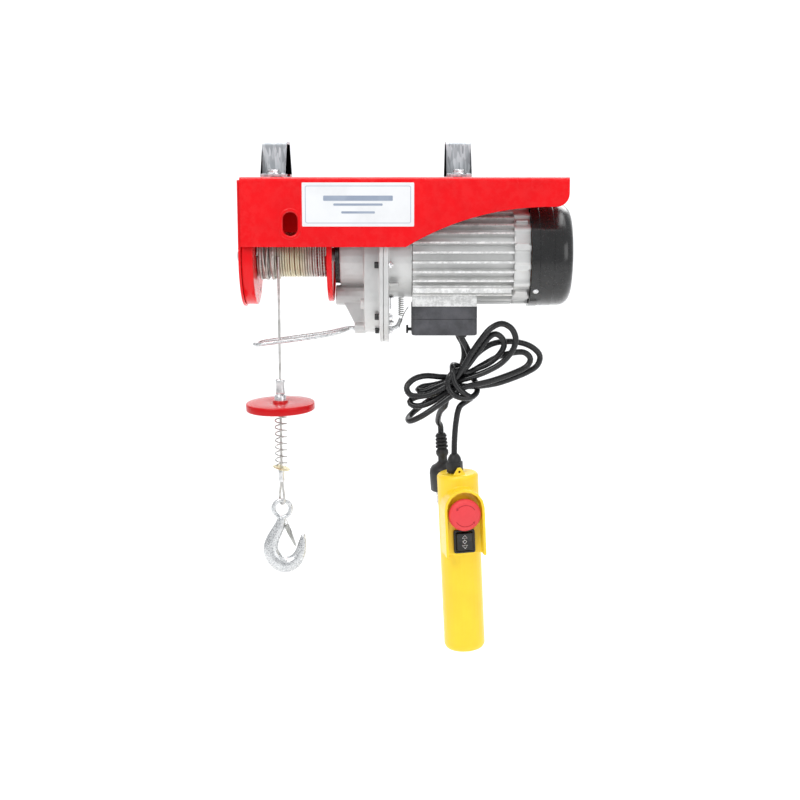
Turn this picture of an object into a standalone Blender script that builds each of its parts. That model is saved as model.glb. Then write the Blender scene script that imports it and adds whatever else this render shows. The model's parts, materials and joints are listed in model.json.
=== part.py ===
"""Mini electric wire rope hoist: a red channel frame that hangs on two beam straps and carries the rope
drum, the gear case, the motor and the switch box, with its rope, load hook, leads and pendant control.

The origin is on the channel's top face, midway between the straps. +X runs from the drum to the motor,
+Z is up and the front of the hoist looks along -Y."""

from math import atan2, cos, pi, radians, sin, sqrt

import bmesh
import bpy
from mathutils import Matrix, Vector

MM = 0.001
GAP = 0.3 * MM  # between pieces that touch or seat on each other
WELD = 0.00001
ROUND = 28  # sides of a large turned piece
SMALL_ROUND = 14

# Channel frame
CHANNEL_LEFT = -146.5 * MM
CHANNEL_LENGTH = 383 * MM
CHANNEL_WIDTH = 134 * MM
SHEET = 3 * MM
DEEP_FLANGE = 80.5 * MM
SHALLOW_FLANGE = 34 * MM
DEEP_RUN = 193 * MM  # length of the deep part, from the left end
FLANGE_SLOPE = 174 * MM  # length over which the flange rises to its shallow part
CORNER = 15 * MM
WINDOW_CENTRE = Vector((-88 * MM, 0, -53.8 * MM))
WINDOW_WIDTH = 19 * MM
WINDOW_HEIGHT = 29.5 * MM

# Beam straps
STRAP_SPACING = 218 * MM
STRAP_WIDTH = 29.5 * MM
STRAP_SHEET = 3.5 * MM
BEAM_WIDTH = 42 * MM
BEAM_HEIGHT = 38 * MM
STRAP_FOOT = 24 * MM
BOLT_RADIUS = 4 * MM
BOLT_HEAD = 7.5 * MM
BOLT_HEAD_HEIGHT = 5 * MM
BOLT_NUT_HEIGHT = 6 * MM

# Main axis, shared by the drum, the output gear and the motor
AXIS_DEPTH = 93 * MM
AXIS = Vector((0, 0, -AXIS_DEPTH))
SIDE_CLEARANCE = 1.5 * MM
COVER_RADIUS = CHANNEL_WIDTH / 2 - SHEET - SIDE_CLEARANCE  # largest round piece between the flanges

# Drum
PLATE_SHEET = 3 * MM
DRUM_LEFT = -137 * MM
DRUM_LENGTH = 94 * MM
FLANGE_THICKNESS = 4 * MM
FLANGE_RADIUS = COVER_RADIUS - 6 * MM
LIP_RADIUS = COVER_RADIUS - 2 * MM  # left flange, rolled out to the end plate
LIP_SHEET = 2 * MM
RIGHT_LIP = 2.5 * MM
BARREL_RADIUS = 19.5 * MM
WINDING_RADIUS = 27.3 * MM
SHAFT_RADIUS = 8 * MM
BUSH_WALL = 3.4 * MM
BUSH_LENGTH = 8 * MM

# Rope and hook line
ROPE_RADIUS = 1.5 * MM
ROPE_X = -106 * MM
SLEEVE_TOP = -242 * MM
SLEEVE_LENGTH = 19 * MM
SLEEVE_RADIUS = 5.8 * MM
COLLAR_RADIUS = 9.4 * MM
COLLAR_HEIGHT = 9 * MM
WEIGHT_RADIUS = 42 * MM
WEIGHT_HEIGHT = 9.5 * MM
SPRING_LENGTH = 71 * MM
SPRING_RADIUS = 7 * MM
SPRING_WIRE = 0.7 * MM
SPRING_TURNS = 9
WASHER_RADIUS = 10.5 * MM
WASHER_HEIGHT = 3 * MM
FERRULE_RADIUS = 4 * MM
FERRULE_LENGTH = 15 * MM
EYE_HOLE = 7.75 * MM
EYE_BAR = 2.9 * MM
EYE_DROP = 27 * MM  # from the ferrule to the bottom of the rope eye
HOOK_FLATNESS = 0.8

# Gear train: motor pinion and layshaft wheel, then layshaft pinion and output gear, on the same centres
FIRST_MODULE = 1.5 * MM
FIRST_PINION = 10
FIRST_WHEEL = 50
GEAR_CENTRES = FIRST_MODULE * (FIRST_PINION + FIRST_WHEEL) / 2
SECOND_PINION = 8
SECOND_WHEEL = 52
SECOND_MODULE = 2 * GEAR_CENTRES / (SECOND_PINION + SECOND_WHEEL)
SECOND_STAGE = (2 * MM, 10 * MM)
FIRST_STAGE = (12 * MM, 18 * MM)
LAYSHAFT_RADIUS = 3.9 * MM
ADDENDUM = 0.8  # in modules
DEDENDUM = 1.15
GEAR_CLEARANCE = 0.9 * MM
OUTPUT_ROOM = SECOND_MODULE * (SECOND_WHEEL / 2 + ADDENDUM) + GEAR_CLEARANCE
WHEEL_ROOM = FIRST_MODULE * (FIRST_WHEEL / 2 + ADDENDUM) + GEAR_CLEARANCE

# Gear case
CASE_LEFT = -3 * MM
CASE_RIGHT = 15.3 * MM
CASE_WALL = 3 * MM
JOINT_FACE = 20 * MM
CASE_UPPER_RADIUS = OUTPUT_ROOM + 5.9 * MM
CASE_LOWER_RADIUS = WHEEL_ROOM + 10.1 * MM
RIM_UPPER_RADIUS = COVER_RADIUS - SIDE_CLEARANCE
RIM_LOWER_RADIUS = 62 * MM
BOSS_LEFT = -32.5 * MM
BOSS_RADIUS = 36 * MM
LOW_BOSS_LEFT = -38.3 * MM
LOW_BOSS_RADIUS = 12.3 * MM
LOW_BOSS_DEPTH = AXIS_DEPTH + GEAR_CENTRES + 4.3 * MM
COVER_THICKNESS = 5.5 * MM
SCREW_RADIUS = 2.2 * MM
SCREW_HOLE = SCREW_RADIUS + GAP

# Motor
MOTOR_FLANGE_THICKNESS = 6 * MM
FIN_TIP = COVER_RADIUS - 2.5 * MM
FIN_DEPTH = 8.5 * MM
MOTOR_RADIUS = FIN_TIP - FIN_DEPTH
MOTOR_WALL = 4.5 * MM
BELL_RIGHT = 54.5 * MM
HOUSING_LENGTH = 119.5 * MM
FIN_COUNT = 32
RIB_COUNT = 16
SHIELD_LENGTH = 20 * MM
COVER_LENGTH = 49 * MM
COVER_WALL = 2 * MM
MOTOR_SHAFT_RADIUS = 6 * MM
ROTOR_RADIUS = 30 * MM
AIR_GAP = 0.5 * MM
CORE_LEFT = 65 * MM
CORE_LENGTH = 70 * MM
BEARING_RADIUS = 17.5 * MM
BEARING_WIDTH = 10 * MM
BRAKE_RADIUS = 38 * MM
FAN_RADIUS = COVER_RADIUS - COVER_WALL - 10.5 * MM
FAN_BLADES = 8

# Switch box under the motor's pad
PAD_WIDTH = 72 * MM
PAD_LENGTH = 77 * MM
PAD_DROP = FIN_TIP  # from the motor's axis
BOX_LEFT = 53.7 * MM
BOX_LENGTH = 79 * MM
BOX_WIDTH = 70 * MM
BOX_HEIGHT = 35 * MM
BOX_BASE_HEIGHT = 15 * MM
BOX_WALL = 2.5 * MM
PLUNGER_RADIUS = 2.4 * MM

# Upper limit lever
LEVER_Y = -12 * MM
LEVER_DEPTH = AXIS_DEPTH + PAD_DROP + 28.5 * MM
PLUNGER_DEPTH = LEVER_DEPTH + 1.3 * MM
LOOP_DROPS = (2.5 * MM, 5.5 * MM, 11.5 * MM, 17.5 * MM)  # below the lever's axis, from the gear case outwards
LEVER_WIRE = 2.4 * MM
LEVER_SHAFT_RIGHT = 34 * MM
LEVER_BOSS_LEFT = -15.6 * MM
LEVER_BOSS_RADIUS = 6.5 * MM

# Leads
LEAD_RADIUS = 3.7 * MM
LEAD_HOLE = LEAD_RADIUS + 2 * GAP
CONTROL_EXIT = Vector((115 * MM, -14 * MM, 0))
MAINS_EXIT = Vector((112 * MM, 12 * MM, 0))
HANK_Y = -8 * MM
HANK_DEPTH = 42 * MM

# Pendant, modelled upright in its own frame with its top centre at the origin
PENDANT_TOP = Vector((111.3 * MM, -10 * MM, -362.4 * MM))
PENDANT_TILT = radians(-2.8)
PENDANT_YAW = radians(8)
PENDANT_RADIUS = 25.7 * MM
PENDANT_LENGTH = 226 * MM
PENDANT_WALL = 2.5 * MM
PANEL_Y = -PENDANT_RADIUS - 1.3 * MM
SHROUD_FRONT = PANEL_Y - 15 * MM
BUTTON_Z = -45 * MM
BUTTON_RADIUS = 20 * MM
SHROUD_WALL = 3.5 * MM
SHROUD_WIDTH = 2 * (BUTTON_RADIUS + 1.5 * MM + SHROUD_WALL)
SHROUD_TOP = -13 * MM
SHROUD_BOTTOM = -98 * MM
STEM_RADIUS = 7 * MM
ROCKER_Z = -81 * MM
BEZEL_SIZE = Vector((26.5 * MM, 3 * MM, 29.5 * MM))
ROCKER_SIZE = Vector((20 * MM, 9 * MM, 24 * MM))
GLAND_OFFSET = -3 * MM
GLAND_RADIUS = 10.5 * MM
GLAND_HEIGHT = 24 * MM

# Plug on the mains lead
PLUG_TOP = Vector((92 * MM, 37 * MM, -322 * MM))
PLUG_BOTTOM = Vector((97.5 * MM, 37 * MM, -396 * MM))
PLUG_RADIUS = 18 * MM

CHANNEL_RIGHT = CHANNEL_LEFT + CHANNEL_LENGTH
LAYSHAFT = AXIS - Vector((0, 0, GEAR_CENTRES))
HOUSING_RIGHT = BELL_RIGHT + GAP + HOUSING_LENGTH
SHIELD_RIGHT = HOUSING_RIGHT + GAP + SHIELD_LENGTH
COVER_RIGHT = SHIELD_RIGHT + GAP + COVER_LENGTH
BOX_TOP = -AXIS_DEPTH - PAD_DROP - GAP
BOX_BOTTOM = BOX_TOP - BOX_HEIGHT
ROPE_Y = -(WINDING_RADIUS + GAP + ROPE_RADIUS)
WEIGHT_TOP = SLEEVE_TOP - SLEEVE_LENGTH - GAP - COLLAR_HEIGHT
WEIGHT_BOTTOM = WEIGHT_TOP - WEIGHT_HEIGHT
SPRING_BOTTOM = WEIGHT_BOTTOM - GAP - SPRING_LENGTH
WASHER_BOTTOM = SPRING_BOTTOM - GAP - WASHER_HEIGHT
FERRULE_BOTTOM = WASHER_BOTTOM - GAP - FERRULE_LENGTH
EYE_BOTTOM = FERRULE_BOTTOM - EYE_DROP - 2 * ROPE_RADIUS
SWING_Z = EYE_BOTTOM + ROPE_RADIUS
HOOK_EYE = Vector((ROPE_X, ROPE_Y, SWING_Z - (EYE_HOLE - ROPE_RADIUS - GAP)))
LATCH_PIVOT = HOOK_EYE + Vector((5.8 * MM, 0, -22.5 * MM))


def clear_scene():
    for obj in list(bpy.data.objects):
        bpy.data.objects.remove(obj, do_unlink=True)


def new_collection(name, hidden=False):
    collection = bpy.data.collections.new(name)
    bpy.context.scene.collection.children.link(collection)
    collection.hide_render = hidden
    return collection


def material(name, colour, roughness, metallic=0.0):
    made = bpy.data.materials.new(name)
    made.use_nodes = True
    shader = made.node_tree.nodes["Principled BSDF"]
    shader.inputs["Base Color"].default_value = (*colour, 1)
    shader.inputs["Roughness"].default_value = roughness
    shader.inputs["Metallic"].default_value = metallic
    made.diffuse_color = (*colour, 1)
    return made


def joint_frame(name, place, parent=None):
    """An empty on a joint's axis, which the pieces of that moving body are parented to."""
    empty = bpy.data.objects.new(name, None)
    empty.location = place
    empty.empty_display_size = 0.01
    PARTS.objects.link(empty)
    if parent:
        empty.parent = parent
        empty.matrix_parent_inverse = parent.matrix_world.inverted()
    bpy.context.view_layer.update()
    return empty


def piece(name, bm, finish, parent=None, smooth=35):
    """A named sub-part from a bmesh in world coordinates."""
    mesh = bpy.data.meshes.new(name)
    bm.to_mesh(mesh)
    bm.free()
    mesh.materials.append(finish)
    if smooth:
        mesh.shade_smooth()
        mesh.set_sharp_from_angle(angle=radians(smooth))
    obj = bpy.data.objects.new(name, mesh)
    PARTS.objects.link(obj)
    if parent:
        obj.parent = parent
        obj.matrix_parent_inverse = parent.matrix_world.inverted()
    return obj


def cutter(bm, name="cutter"):
    mesh = bpy.data.meshes.new(name)
    bm.to_mesh(mesh)
    bm.free()
    obj = bpy.data.objects.new(name, mesh)
    CUTTERS.objects.link(obj)
    obj.hide_render = True
    obj.display_type = "WIRE"
    return obj


def cut(obj, bm):
    change = obj.modifiers.new("cut", "BOOLEAN")
    change.operation = "DIFFERENCE"
    change.object = cutter(bm)


def join(obj, bm):
    change = obj.modifiers.new("join", "BOOLEAN")
    change.operation = "UNION"
    change.object = cutter(bm, "joined")


def baked(obj, place=Matrix()):
    """The evaluated shape of a helper object as a welded bmesh; the helper is removed."""
    bpy.context.scene.collection.objects.link(obj)
    bpy.context.view_layer.update()
    graph = bpy.context.evaluated_depsgraph_get()
    mesh = bpy.data.meshes.new_from_object(obj.evaluated_get(graph))
    bm = bmesh.new()
    bm.from_mesh(mesh)
    bmesh.ops.remove_doubles(bm, verts=bm.verts, dist=WELD)
    bmesh.ops.recalc_face_normals(bm, faces=bm.faces)
    bmesh.ops.transform(bm, matrix=place, verts=bm.verts)
    bpy.data.objects.remove(obj, do_unlink=True)
    bpy.data.meshes.remove(mesh)
    return bm


def along(axis, origin=Vector()):
    """The matrix that lays a shape's own +Z along +X, towards the front (-Y) or along +Z."""
    turns = {
        "x": Matrix(((0, 0, 1), (1, 0, 0), (0, 1, 0))),
        "front": Matrix(((1, 0, 0), (0, 0, -1), (0, 1, 0))),
        "z": Matrix.Identity(3),
    }
    return Matrix.Translation(origin) @ turns[axis].to_4x4()


def turned(profile, axis="z", origin=Vector(), sides=ROUND, hollow=False):
    """A profile of (radius, height) points turned about an axis. A hollow one closes on itself."""
    mesh = bpy.data.meshes.new("profile")
    edges = [(i, i + 1) for i in range(len(profile) - 1)]
    if hollow:
        edges.append((len(profile) - 1, 0))
    mesh.from_pydata([(radius, 0, height) for radius, height in profile], edges, [])
    obj = bpy.data.objects.new("profile", mesh)
    screw = obj.modifiers.new("turn", "SCREW")
    screw.steps = screw.render_steps = sides
    screw.use_merge_vertices = True
    screw.merge_threshold = WELD
    return baked(obj, along(axis, origin))


def rod(axis, start, end, radius, origin=Vector(), sides=SMALL_ROUND):
    """A plain round bar from start to end along the direction given, through the origin."""
    return turned([(0, end), (radius, end), (radius, start), (0, start)], axis, origin, sides)


def pipe(axis, start, end, inner, outer, origin=Vector(), sides=ROUND):
    profile = [(outer, end), (outer, start), (inner, start), (inner, end)]
    return turned(profile, axis, origin, sides, hollow=True)


def block(low, high):
    bm = bmesh.new()
    low, high = Vector(low), Vector(high)
    place = Matrix.Translation((low + high) / 2) @ Matrix.Diagonal((*(high - low), 1))
    bmesh.ops.create_cube(bm, size=1, matrix=place)
    return bm


def plate(outlines, axis, start, end, origin=Vector()):
    """Closed outlines filled (inner ones are holes) and given a thickness from start to end along an axis."""
    curve = bpy.data.curves.new("outline", "CURVE")
    curve.dimensions = "2D"
    curve.fill_mode = "BOTH"
    curve.extrude = (end - start) / 2
    for outline in outlines:
        spline = curve.splines.new("POLY")
        spline.points.add(len(outline) - 1)
        for point, (u, v) in zip(spline.points, outline):
            point.co = (u, v, 0, 1)
        spline.use_cyclic_u = True
    obj = bpy.data.objects.new("outline", curve)
    return baked(obj, along(axis, origin) @ Matrix.Translation((0, 0, (start + end) / 2)))


def circle(radius, sides=SMALL_ROUND, centre=(0, 0)):
    return [
        (centre[0] + radius * cos(2 * pi * k / sides), centre[1] + radius * sin(2 * pi * k / sides))
        for k in range(sides)
    ]


def round_pair(upper, lower, distance, sides=ROUND):
    """The outline round two circles, one above the other, with its zero at the upper one's centre."""
    lean = (upper - lower) / distance
    angle = atan2(lean, sqrt(1 - lean * lean))
    points = []
    for k in range(sides // 2 + 1):
        turn = -angle + (pi + 2 * angle) * k / (sides // 2)
        points.append((upper * cos(turn), upper * sin(turn)))
    for k in range(sides // 2 + 1):
        turn = pi + angle + (pi - 2 * angle) * k / (sides // 2)
        points.append((lower * cos(turn), -distance + lower * sin(turn)))
    return points


def smooth_route(points, spacing):
    """Points at an even spacing on the smooth curve through the given ones."""
    points = [Vector(point) for point in points]
    ends = [2 * points[0] - points[1]] + points + [2 * points[-1] - points[-2]]
    fine = []
    for before, start, end, after in zip(ends, ends[1:], ends[2:], ends[3:]):
        for k in range(24):
            t = k / 24
            fine.append(
                0.5
                * (
                    2 * start
                    + (end - before) * t
                    + (2 * before - 5 * start + 4 * end - after) * t * t
                    + (3 * start - before - 3 * end + after) * t**3
                )
            )
    fine.append(points[-1])
    length = sum((b - a).length for a, b in zip(fine, fine[1:]))
    count = max(2, round(length / spacing))
    step, walked, route = length / count, 0.0, [fine[0]]
    for a, b in zip(fine, fine[1:]):
        stretch = (b - a).length
        while walked + stretch >= step * len(route) and len(route) < count:
            route.append(a.lerp(b, (step * len(route) - walked) / stretch))
        walked += stretch
    return route + [fine[-1]]


def wire(points, radius, resolution=2, radii=None, closed=False):
    """A round bar along a route, with its ends capped."""
    curve = bpy.data.curves.new("wire", "CURVE")
    curve.dimensions = "3D"
    curve.bevel_depth = radius
    curve.bevel_resolution = resolution
    curve.use_fill_caps = True
    spline = curve.splines.new("POLY")
    spline.points.add(len(points) - 1)
    for k, (point, co) in enumerate(zip(spline.points, points)):
        point.co = (*co, 1)
        point.radius = radii[k] if radii else 1
    spline.use_cyclic_u = closed
    return baked(bpy.data.objects.new("wire", curve))


def helix(centre, radius, top, bottom, turns, steps=8):
    count = round(turns * steps)
    return [
        Vector(
            (
                centre.x + radius * cos(2 * pi * k / steps),
                centre.y + radius * sin(2 * pi * k / steps),
                top + (bottom - top) * k / count,
            )
        )
        for k in range(count + 1)
    ]


def gear_outline(module, teeth, first):
    """A spur gear's outline with a tooth at the angle given, its flanks straight and eased for backlash."""
    pitch = module * teeth / 2
    tip, root = pitch + ADDENDUM * module, pitch - DEDENDUM * module
    step = 2 * pi / teeth
    outline = []
    for k in range(teeth):
        middle = first + k * step
        for radius, offset in ((root, -0.28), (tip, -0.13), (tip, 0.13), (root, 0.28)):
            turn = middle + offset * step
            outline.append((radius * cos(turn), radius * sin(turn)))
    return outline


def hexagon(across, turn=0.0):
    radius = across / sqrt(3)
    return [(radius * cos(turn + k * pi / 3), radius * sin(turn + k * pi / 3)) for k in range(6)]


def channel_frame():
    """Folded sheet: a top with a front and a back flange, deep over the drum and shallow over the motor."""
    deep_end = CHANNEL_LEFT + DEEP_RUN
    rise = DEEP_FLANGE - SHALLOW_FLANGE
    side = [(CHANNEL_LEFT, 0), (CHANNEL_LEFT, -DEEP_FLANGE), (deep_end, -DEEP_FLANGE)]
    for k in range(1, 9):
        share = k / 8
        lift = rise * (1 - (1 - share) ** 2.2)
        side.append((deep_end + FLANGE_SLOPE * share, -DEEP_FLANGE + lift))
    for k in range(5):
        turn = pi / 2 * k / 4
        side.append(
            (
                CHANNEL_RIGHT - CORNER + CORNER * sin(turn),
                -SHALLOW_FLANGE + CORNER - CORNER * cos(turn),
            )
        )
    side.append((CHANNEL_RIGHT, 0))
    half = CHANNEL_WIDTH / 2
    outline = [(x, z) for x, z in side]
    obj = piece("channel_frame", plate([outline], "front", -half, half), RED_PAINT)
    inside = half - SHEET
    cut(obj, block((CHANNEL_LEFT - SHEET, -inside, -1), (CHANNEL_RIGHT + SHEET, inside, -SHEET)))
    radius = WINDOW_WIDTH / 2
    reach = WINDOW_HEIGHT / 2 - radius
    window = [
        (radius * cos(turn), radius * sin(turn) + (reach if turn < pi else -reach))
        for turn in (pi * (k + 0.5) / 8 for k in range(16))
    ]
    cut(obj, plate([window], "front", half - 2 * SHEET, half + SHEET, WINDOW_CENTRE))
    for x, y in bolt_places():
        cut(obj, rod("z", -2 * SHEET, SHEET, BOLT_RADIUS + GAP, Vector((x, y, 0))))
    return obj


def bolt_places():
    """Where the four strap bolts pass through the channel's top."""
    y = BEAM_WIDTH / 2 + STRAP_SHEET + STRAP_FOOT * 0.55
    return [(side * STRAP_SPACING / 2, depth * y) for side in (-1, 1) for depth in (-1, 1)]


def beam_straps():
    """Inverted U straps whose feet are bolted to the channel; the beam passes through both along X."""
    inner = BEAM_WIDTH / 2
    outer = inner + STRAP_SHEET
    top = GAP + BEAM_HEIGHT
    half = STRAP_WIDTH / 2
    toe = outer + STRAP_FOOT
    outline = [
        (-toe, GAP), (-inner, GAP), (-inner, top), (inner, top), (inner, GAP), (toe, GAP),
        (toe, GAP + STRAP_SHEET), (outer, GAP + STRAP_SHEET), (outer, top + STRAP_SHEET),
        (-outer, top + STRAP_SHEET), (-outer, GAP + STRAP_SHEET), (-toe, GAP + STRAP_SHEET),
    ]
    for name, side in (("beam_strap_left", -1), ("beam_strap_right", 1)):
        x = side * STRAP_SPACING / 2
        obj = piece(name, plate([outline], "x", x - half, x + half), GALVANISED)
        for bolt_x, y in bolt_places():
            if bolt_x == x:
                cut(obj, rod("z", -SHEET, 3 * STRAP_SHEET, BOLT_RADIUS + GAP, Vector((x, y, 0))))


def strap_bolts():
    """Hex bolts with their nuts run up under the channel."""
    names = ("strap_bolt_left_front", "strap_bolt_left_back",
             "strap_bolt_right_front", "strap_bolt_right_back")
    head = STRAP_SHEET + 2 * GAP
    for name, (x, y) in zip(names, bolt_places()):
        place = Vector((x, y, 0))
        obj = piece(name, plate([hexagon(2 * BOLT_HEAD)], "z", head, head + BOLT_HEAD_HEIGHT, place), ZINC)
        join(obj, rod("z", -SHEET - BOLT_NUT_HEIGHT - SHEET, head + MM, BOLT_RADIUS, place))
        nut_top = -SHEET - GAP
        join(obj, plate([hexagon(2 * BOLT_HEAD)], "z", nut_top - BOLT_NUT_HEIGHT, nut_top, place))


def drum_support_plate():
    """The end plate that carries the drum shaft's outer bush."""
    half = COVER_RADIUS
    outline = [(half, AXIS_DEPTH - GAP - SHEET), (-half, AXIS_DEPTH - GAP - SHEET)]
    for k in range(ROUND // 2 + 1):
        turn = pi + pi * k / (ROUND // 2)
        outline.append((half * cos(turn), half * sin(turn)))
    right = CHANNEL_LEFT - GAP
    bore = circle(SHAFT_RADIUS + GAP + BUSH_WALL + GAP, 24)
    piece("drum_support_plate", plate([outline, bore], "x", right - PLATE_SHEET, right, AXIS), RED_PAINT)
    middle = right - PLATE_SHEET / 2
    inner = SHAFT_RADIUS + GAP
    left, end = middle - BUSH_LENGTH / 2, middle + BUSH_LENGTH / 2
    piece("drum_bush", pipe("x", left, end, inner, inner + BUSH_WALL, AXIS, 24), BRONZE)


def drum(frame):
    left, right = DRUM_LEFT, DRUM_LEFT + DRUM_LENGTH
    inner = SHAFT_RADIUS + GAP
    profile = [
        (inner, left), (inner, right), (FLANGE_RADIUS - LIP_SHEET, right),
        (FLANGE_RADIUS - LIP_SHEET, right + RIGHT_LIP), (FLANGE_RADIUS, right + RIGHT_LIP),
        (FLANGE_RADIUS, right - FLANGE_THICKNESS), (BARREL_RADIUS, right - FLANGE_THICKNESS),
        (BARREL_RADIUS, left + FLANGE_THICKNESS), (LIP_RADIUS, left + FLANGE_THICKNESS),
        (LIP_RADIUS, CHANNEL_LEFT), (LIP_RADIUS - LIP_SHEET, CHANNEL_LEFT), (LIP_RADIUS - LIP_SHEET, left),
    ]
    piece("rope_drum", turned(profile, "x", AXIS, hollow=True), RED_PAINT, frame)
    start, end = left + FLANGE_THICKNESS + GAP, right - FLANGE_THICKNESS - GAP
    winding = pipe("x", start, end, BARREL_RADIUS + GAP, WINDING_RADIUS, AXIS)
    piece("rope_winding", winding, ROPE_STEEL, frame)
    shaft_left = CHANNEL_LEFT - PLATE_SHEET - BUSH_LENGTH
    shaft = rod("x", shaft_left, FIRST_STAGE[0] - 1.2 * MM, SHAFT_RADIUS, AXIS, 24)
    piece("drum_shaft", shaft, STEEL, frame)
    outline = gear_outline(SECOND_MODULE, SECOND_WHEEL, -pi / 2 + pi / SECOND_WHEEL)
    gear = plate([outline, circle(SHAFT_RADIUS + GAP, 24)], "x", *SECOND_STAGE, AXIS)
    piece("output_gear", gear, STEEL, frame, smooth=0)


def layshaft(frame):
    outline = gear_outline(SECOND_MODULE, SECOND_PINION, pi / 2)
    pinion = plate([outline], "x", SECOND_STAGE[0] - MM / 2, SECOND_STAGE[1] + MM / 2, LAYSHAFT)
    obj = piece("layshaft", pinion, STEEL, frame, smooth=0)
    join(obj, rod("x", BOSS_LEFT, JOINT_FACE + MOTOR_FLANGE_THICKNESS - 2 * MM, LAYSHAFT_RADIUS, LAYSHAFT))
    outline = gear_outline(FIRST_MODULE, FIRST_WHEEL, pi / 2 + pi / FIRST_WHEEL)
    wheel = plate([outline, circle(LAYSHAFT_RADIUS + GAP)], "x", *FIRST_STAGE, LAYSHAFT)
    piece("layshaft_wheel", wheel, STEEL, frame, smooth=0)


def gear_case():
    """Cast case: a body round both gears, with bosses for the drum shaft, the layshaft and the lever."""
    body = round_pair(CASE_UPPER_RADIUS, CASE_LOWER_RADIUS, GEAR_CENTRES)
    rim = round_pair(RIM_UPPER_RADIUS, RIM_LOWER_RADIUS, GEAR_CENTRES)
    obj = piece("gear_case", plate([body], "x", CASE_LEFT, JOINT_FACE - MM, AXIS), CAST_GREY)
    join(obj, plate([rim], "x", CASE_RIGHT, JOINT_FACE, AXIS))
    join(obj, rod("x", BOSS_LEFT, CASE_LEFT + MM, BOSS_RADIUS, AXIS, ROUND))
    low_boss = Vector((0, 0, -LOW_BOSS_DEPTH))
    join(obj, rod("x", LOW_BOSS_LEFT, CASE_LEFT + MM, LOW_BOSS_RADIUS, low_boss))
    lever = Vector((0, LEVER_Y, -LEVER_DEPTH))
    join(obj, rod("x", LEVER_BOSS_LEFT, CASE_LEFT + MM, LEVER_BOSS_RADIUS, lever))
    low = -LOW_BOSS_DEPTH - LOW_BOSS_RADIUS
    web = [
        (LOW_BOSS_LEFT + 10 * MM, low + 3 * MM), (LEVER_BOSS_LEFT + MM, -LEVER_DEPTH + 3 * MM),
        (LEVER_BOSS_LEFT + MM, -LEVER_DEPTH), (CASE_LEFT + MM, -LEVER_DEPTH), (CASE_LEFT + MM, low + 3 * MM),
    ]
    join(obj, plate([web], "front", -LEVER_Y / 2 - 3 * MM, -LEVER_Y / 2 + 3 * MM))
    join(obj, block((CASE_RIGHT - 12 * MM, -22 * MM, -AXIS_DEPTH), (JOINT_FACE, 22 * MM, -SHEET - GAP)))
    cavity = round_pair(OUTPUT_ROOM, WHEEL_ROOM, GEAR_CENTRES)
    cut(obj, plate([cavity], "x", CASE_LEFT + CASE_WALL, JOINT_FACE + MM, AXIS))
    cut(obj, rod("x", BOSS_LEFT - MM, CASE_LEFT + 2 * CASE_WALL, SHAFT_RADIUS + GAP, AXIS, 24))
    cut(obj, rod("x", BOSS_LEFT - GAP, CASE_LEFT + 2 * CASE_WALL, LAYSHAFT_RADIUS + GAP, LAYSHAFT))
    cut(obj, rod("x", LEVER_BOSS_LEFT - MM, JOINT_FACE + MM, LEVER_WIRE + GAP, lever))
    for y, z in screw_places():
        cut(obj, rod("x", CASE_RIGHT - MM, JOINT_FACE + MM, SCREW_HOLE, Vector((0, y, z)), 12))


def bearing_cover():
    """The black seal ring between the drum and the gear case's boss."""
    right = BOSS_LEFT - GAP
    ring = pipe("x", right - COVER_THICKNESS, right, SHAFT_RADIUS + GAP, BOSS_RADIUS - MM, AXIS)
    obj = piece("bearing_cover", ring, BLACK_PLASTIC)
    low_boss = Vector((0, 0, -LOW_BOSS_DEPTH))
    cut(obj, rod("x", right - 2 * COVER_THICKNESS, right + MM, LOW_BOSS_RADIUS + GAP, low_boss))


def screw_places():
    """The two front case screws, in the rim outside the case body."""
    upper = AXIS + Vector((0, -(MOTOR_RADIUS + 4.6 * MM), -9 * MM))
    lower = LAYSHAFT + Vector((0, -(CASE_LOWER_RADIUS + 5.5 * MM) * cos(radians(28)), -26 * MM))
    return [(upper.y, upper.z), (lower.y, lower.z)]


def case_screws():
    """Socket screws with their nuts, through the rims of the gear case and the motor flange."""
    right = JOINT_FACE + GAP + MOTOR_FLANGE_THICKNESS
    for name, (y, z) in zip(("case_screw_upper", "case_screw_lower"), screw_places()):
        place = Vector((0, y, z))
        head = CASE_RIGHT - GAP
        obj = piece(name, rod("x", head - 5 * MM, head, 4 * MM, place), STEEL)
        join(obj, rod("x", head - MM, right + 4.5 * MM, SCREW_RADIUS, place, 12))
        join(obj, plate([hexagon(8 * MM)], "x", right + GAP, right + 4 * MM, place))


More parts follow.
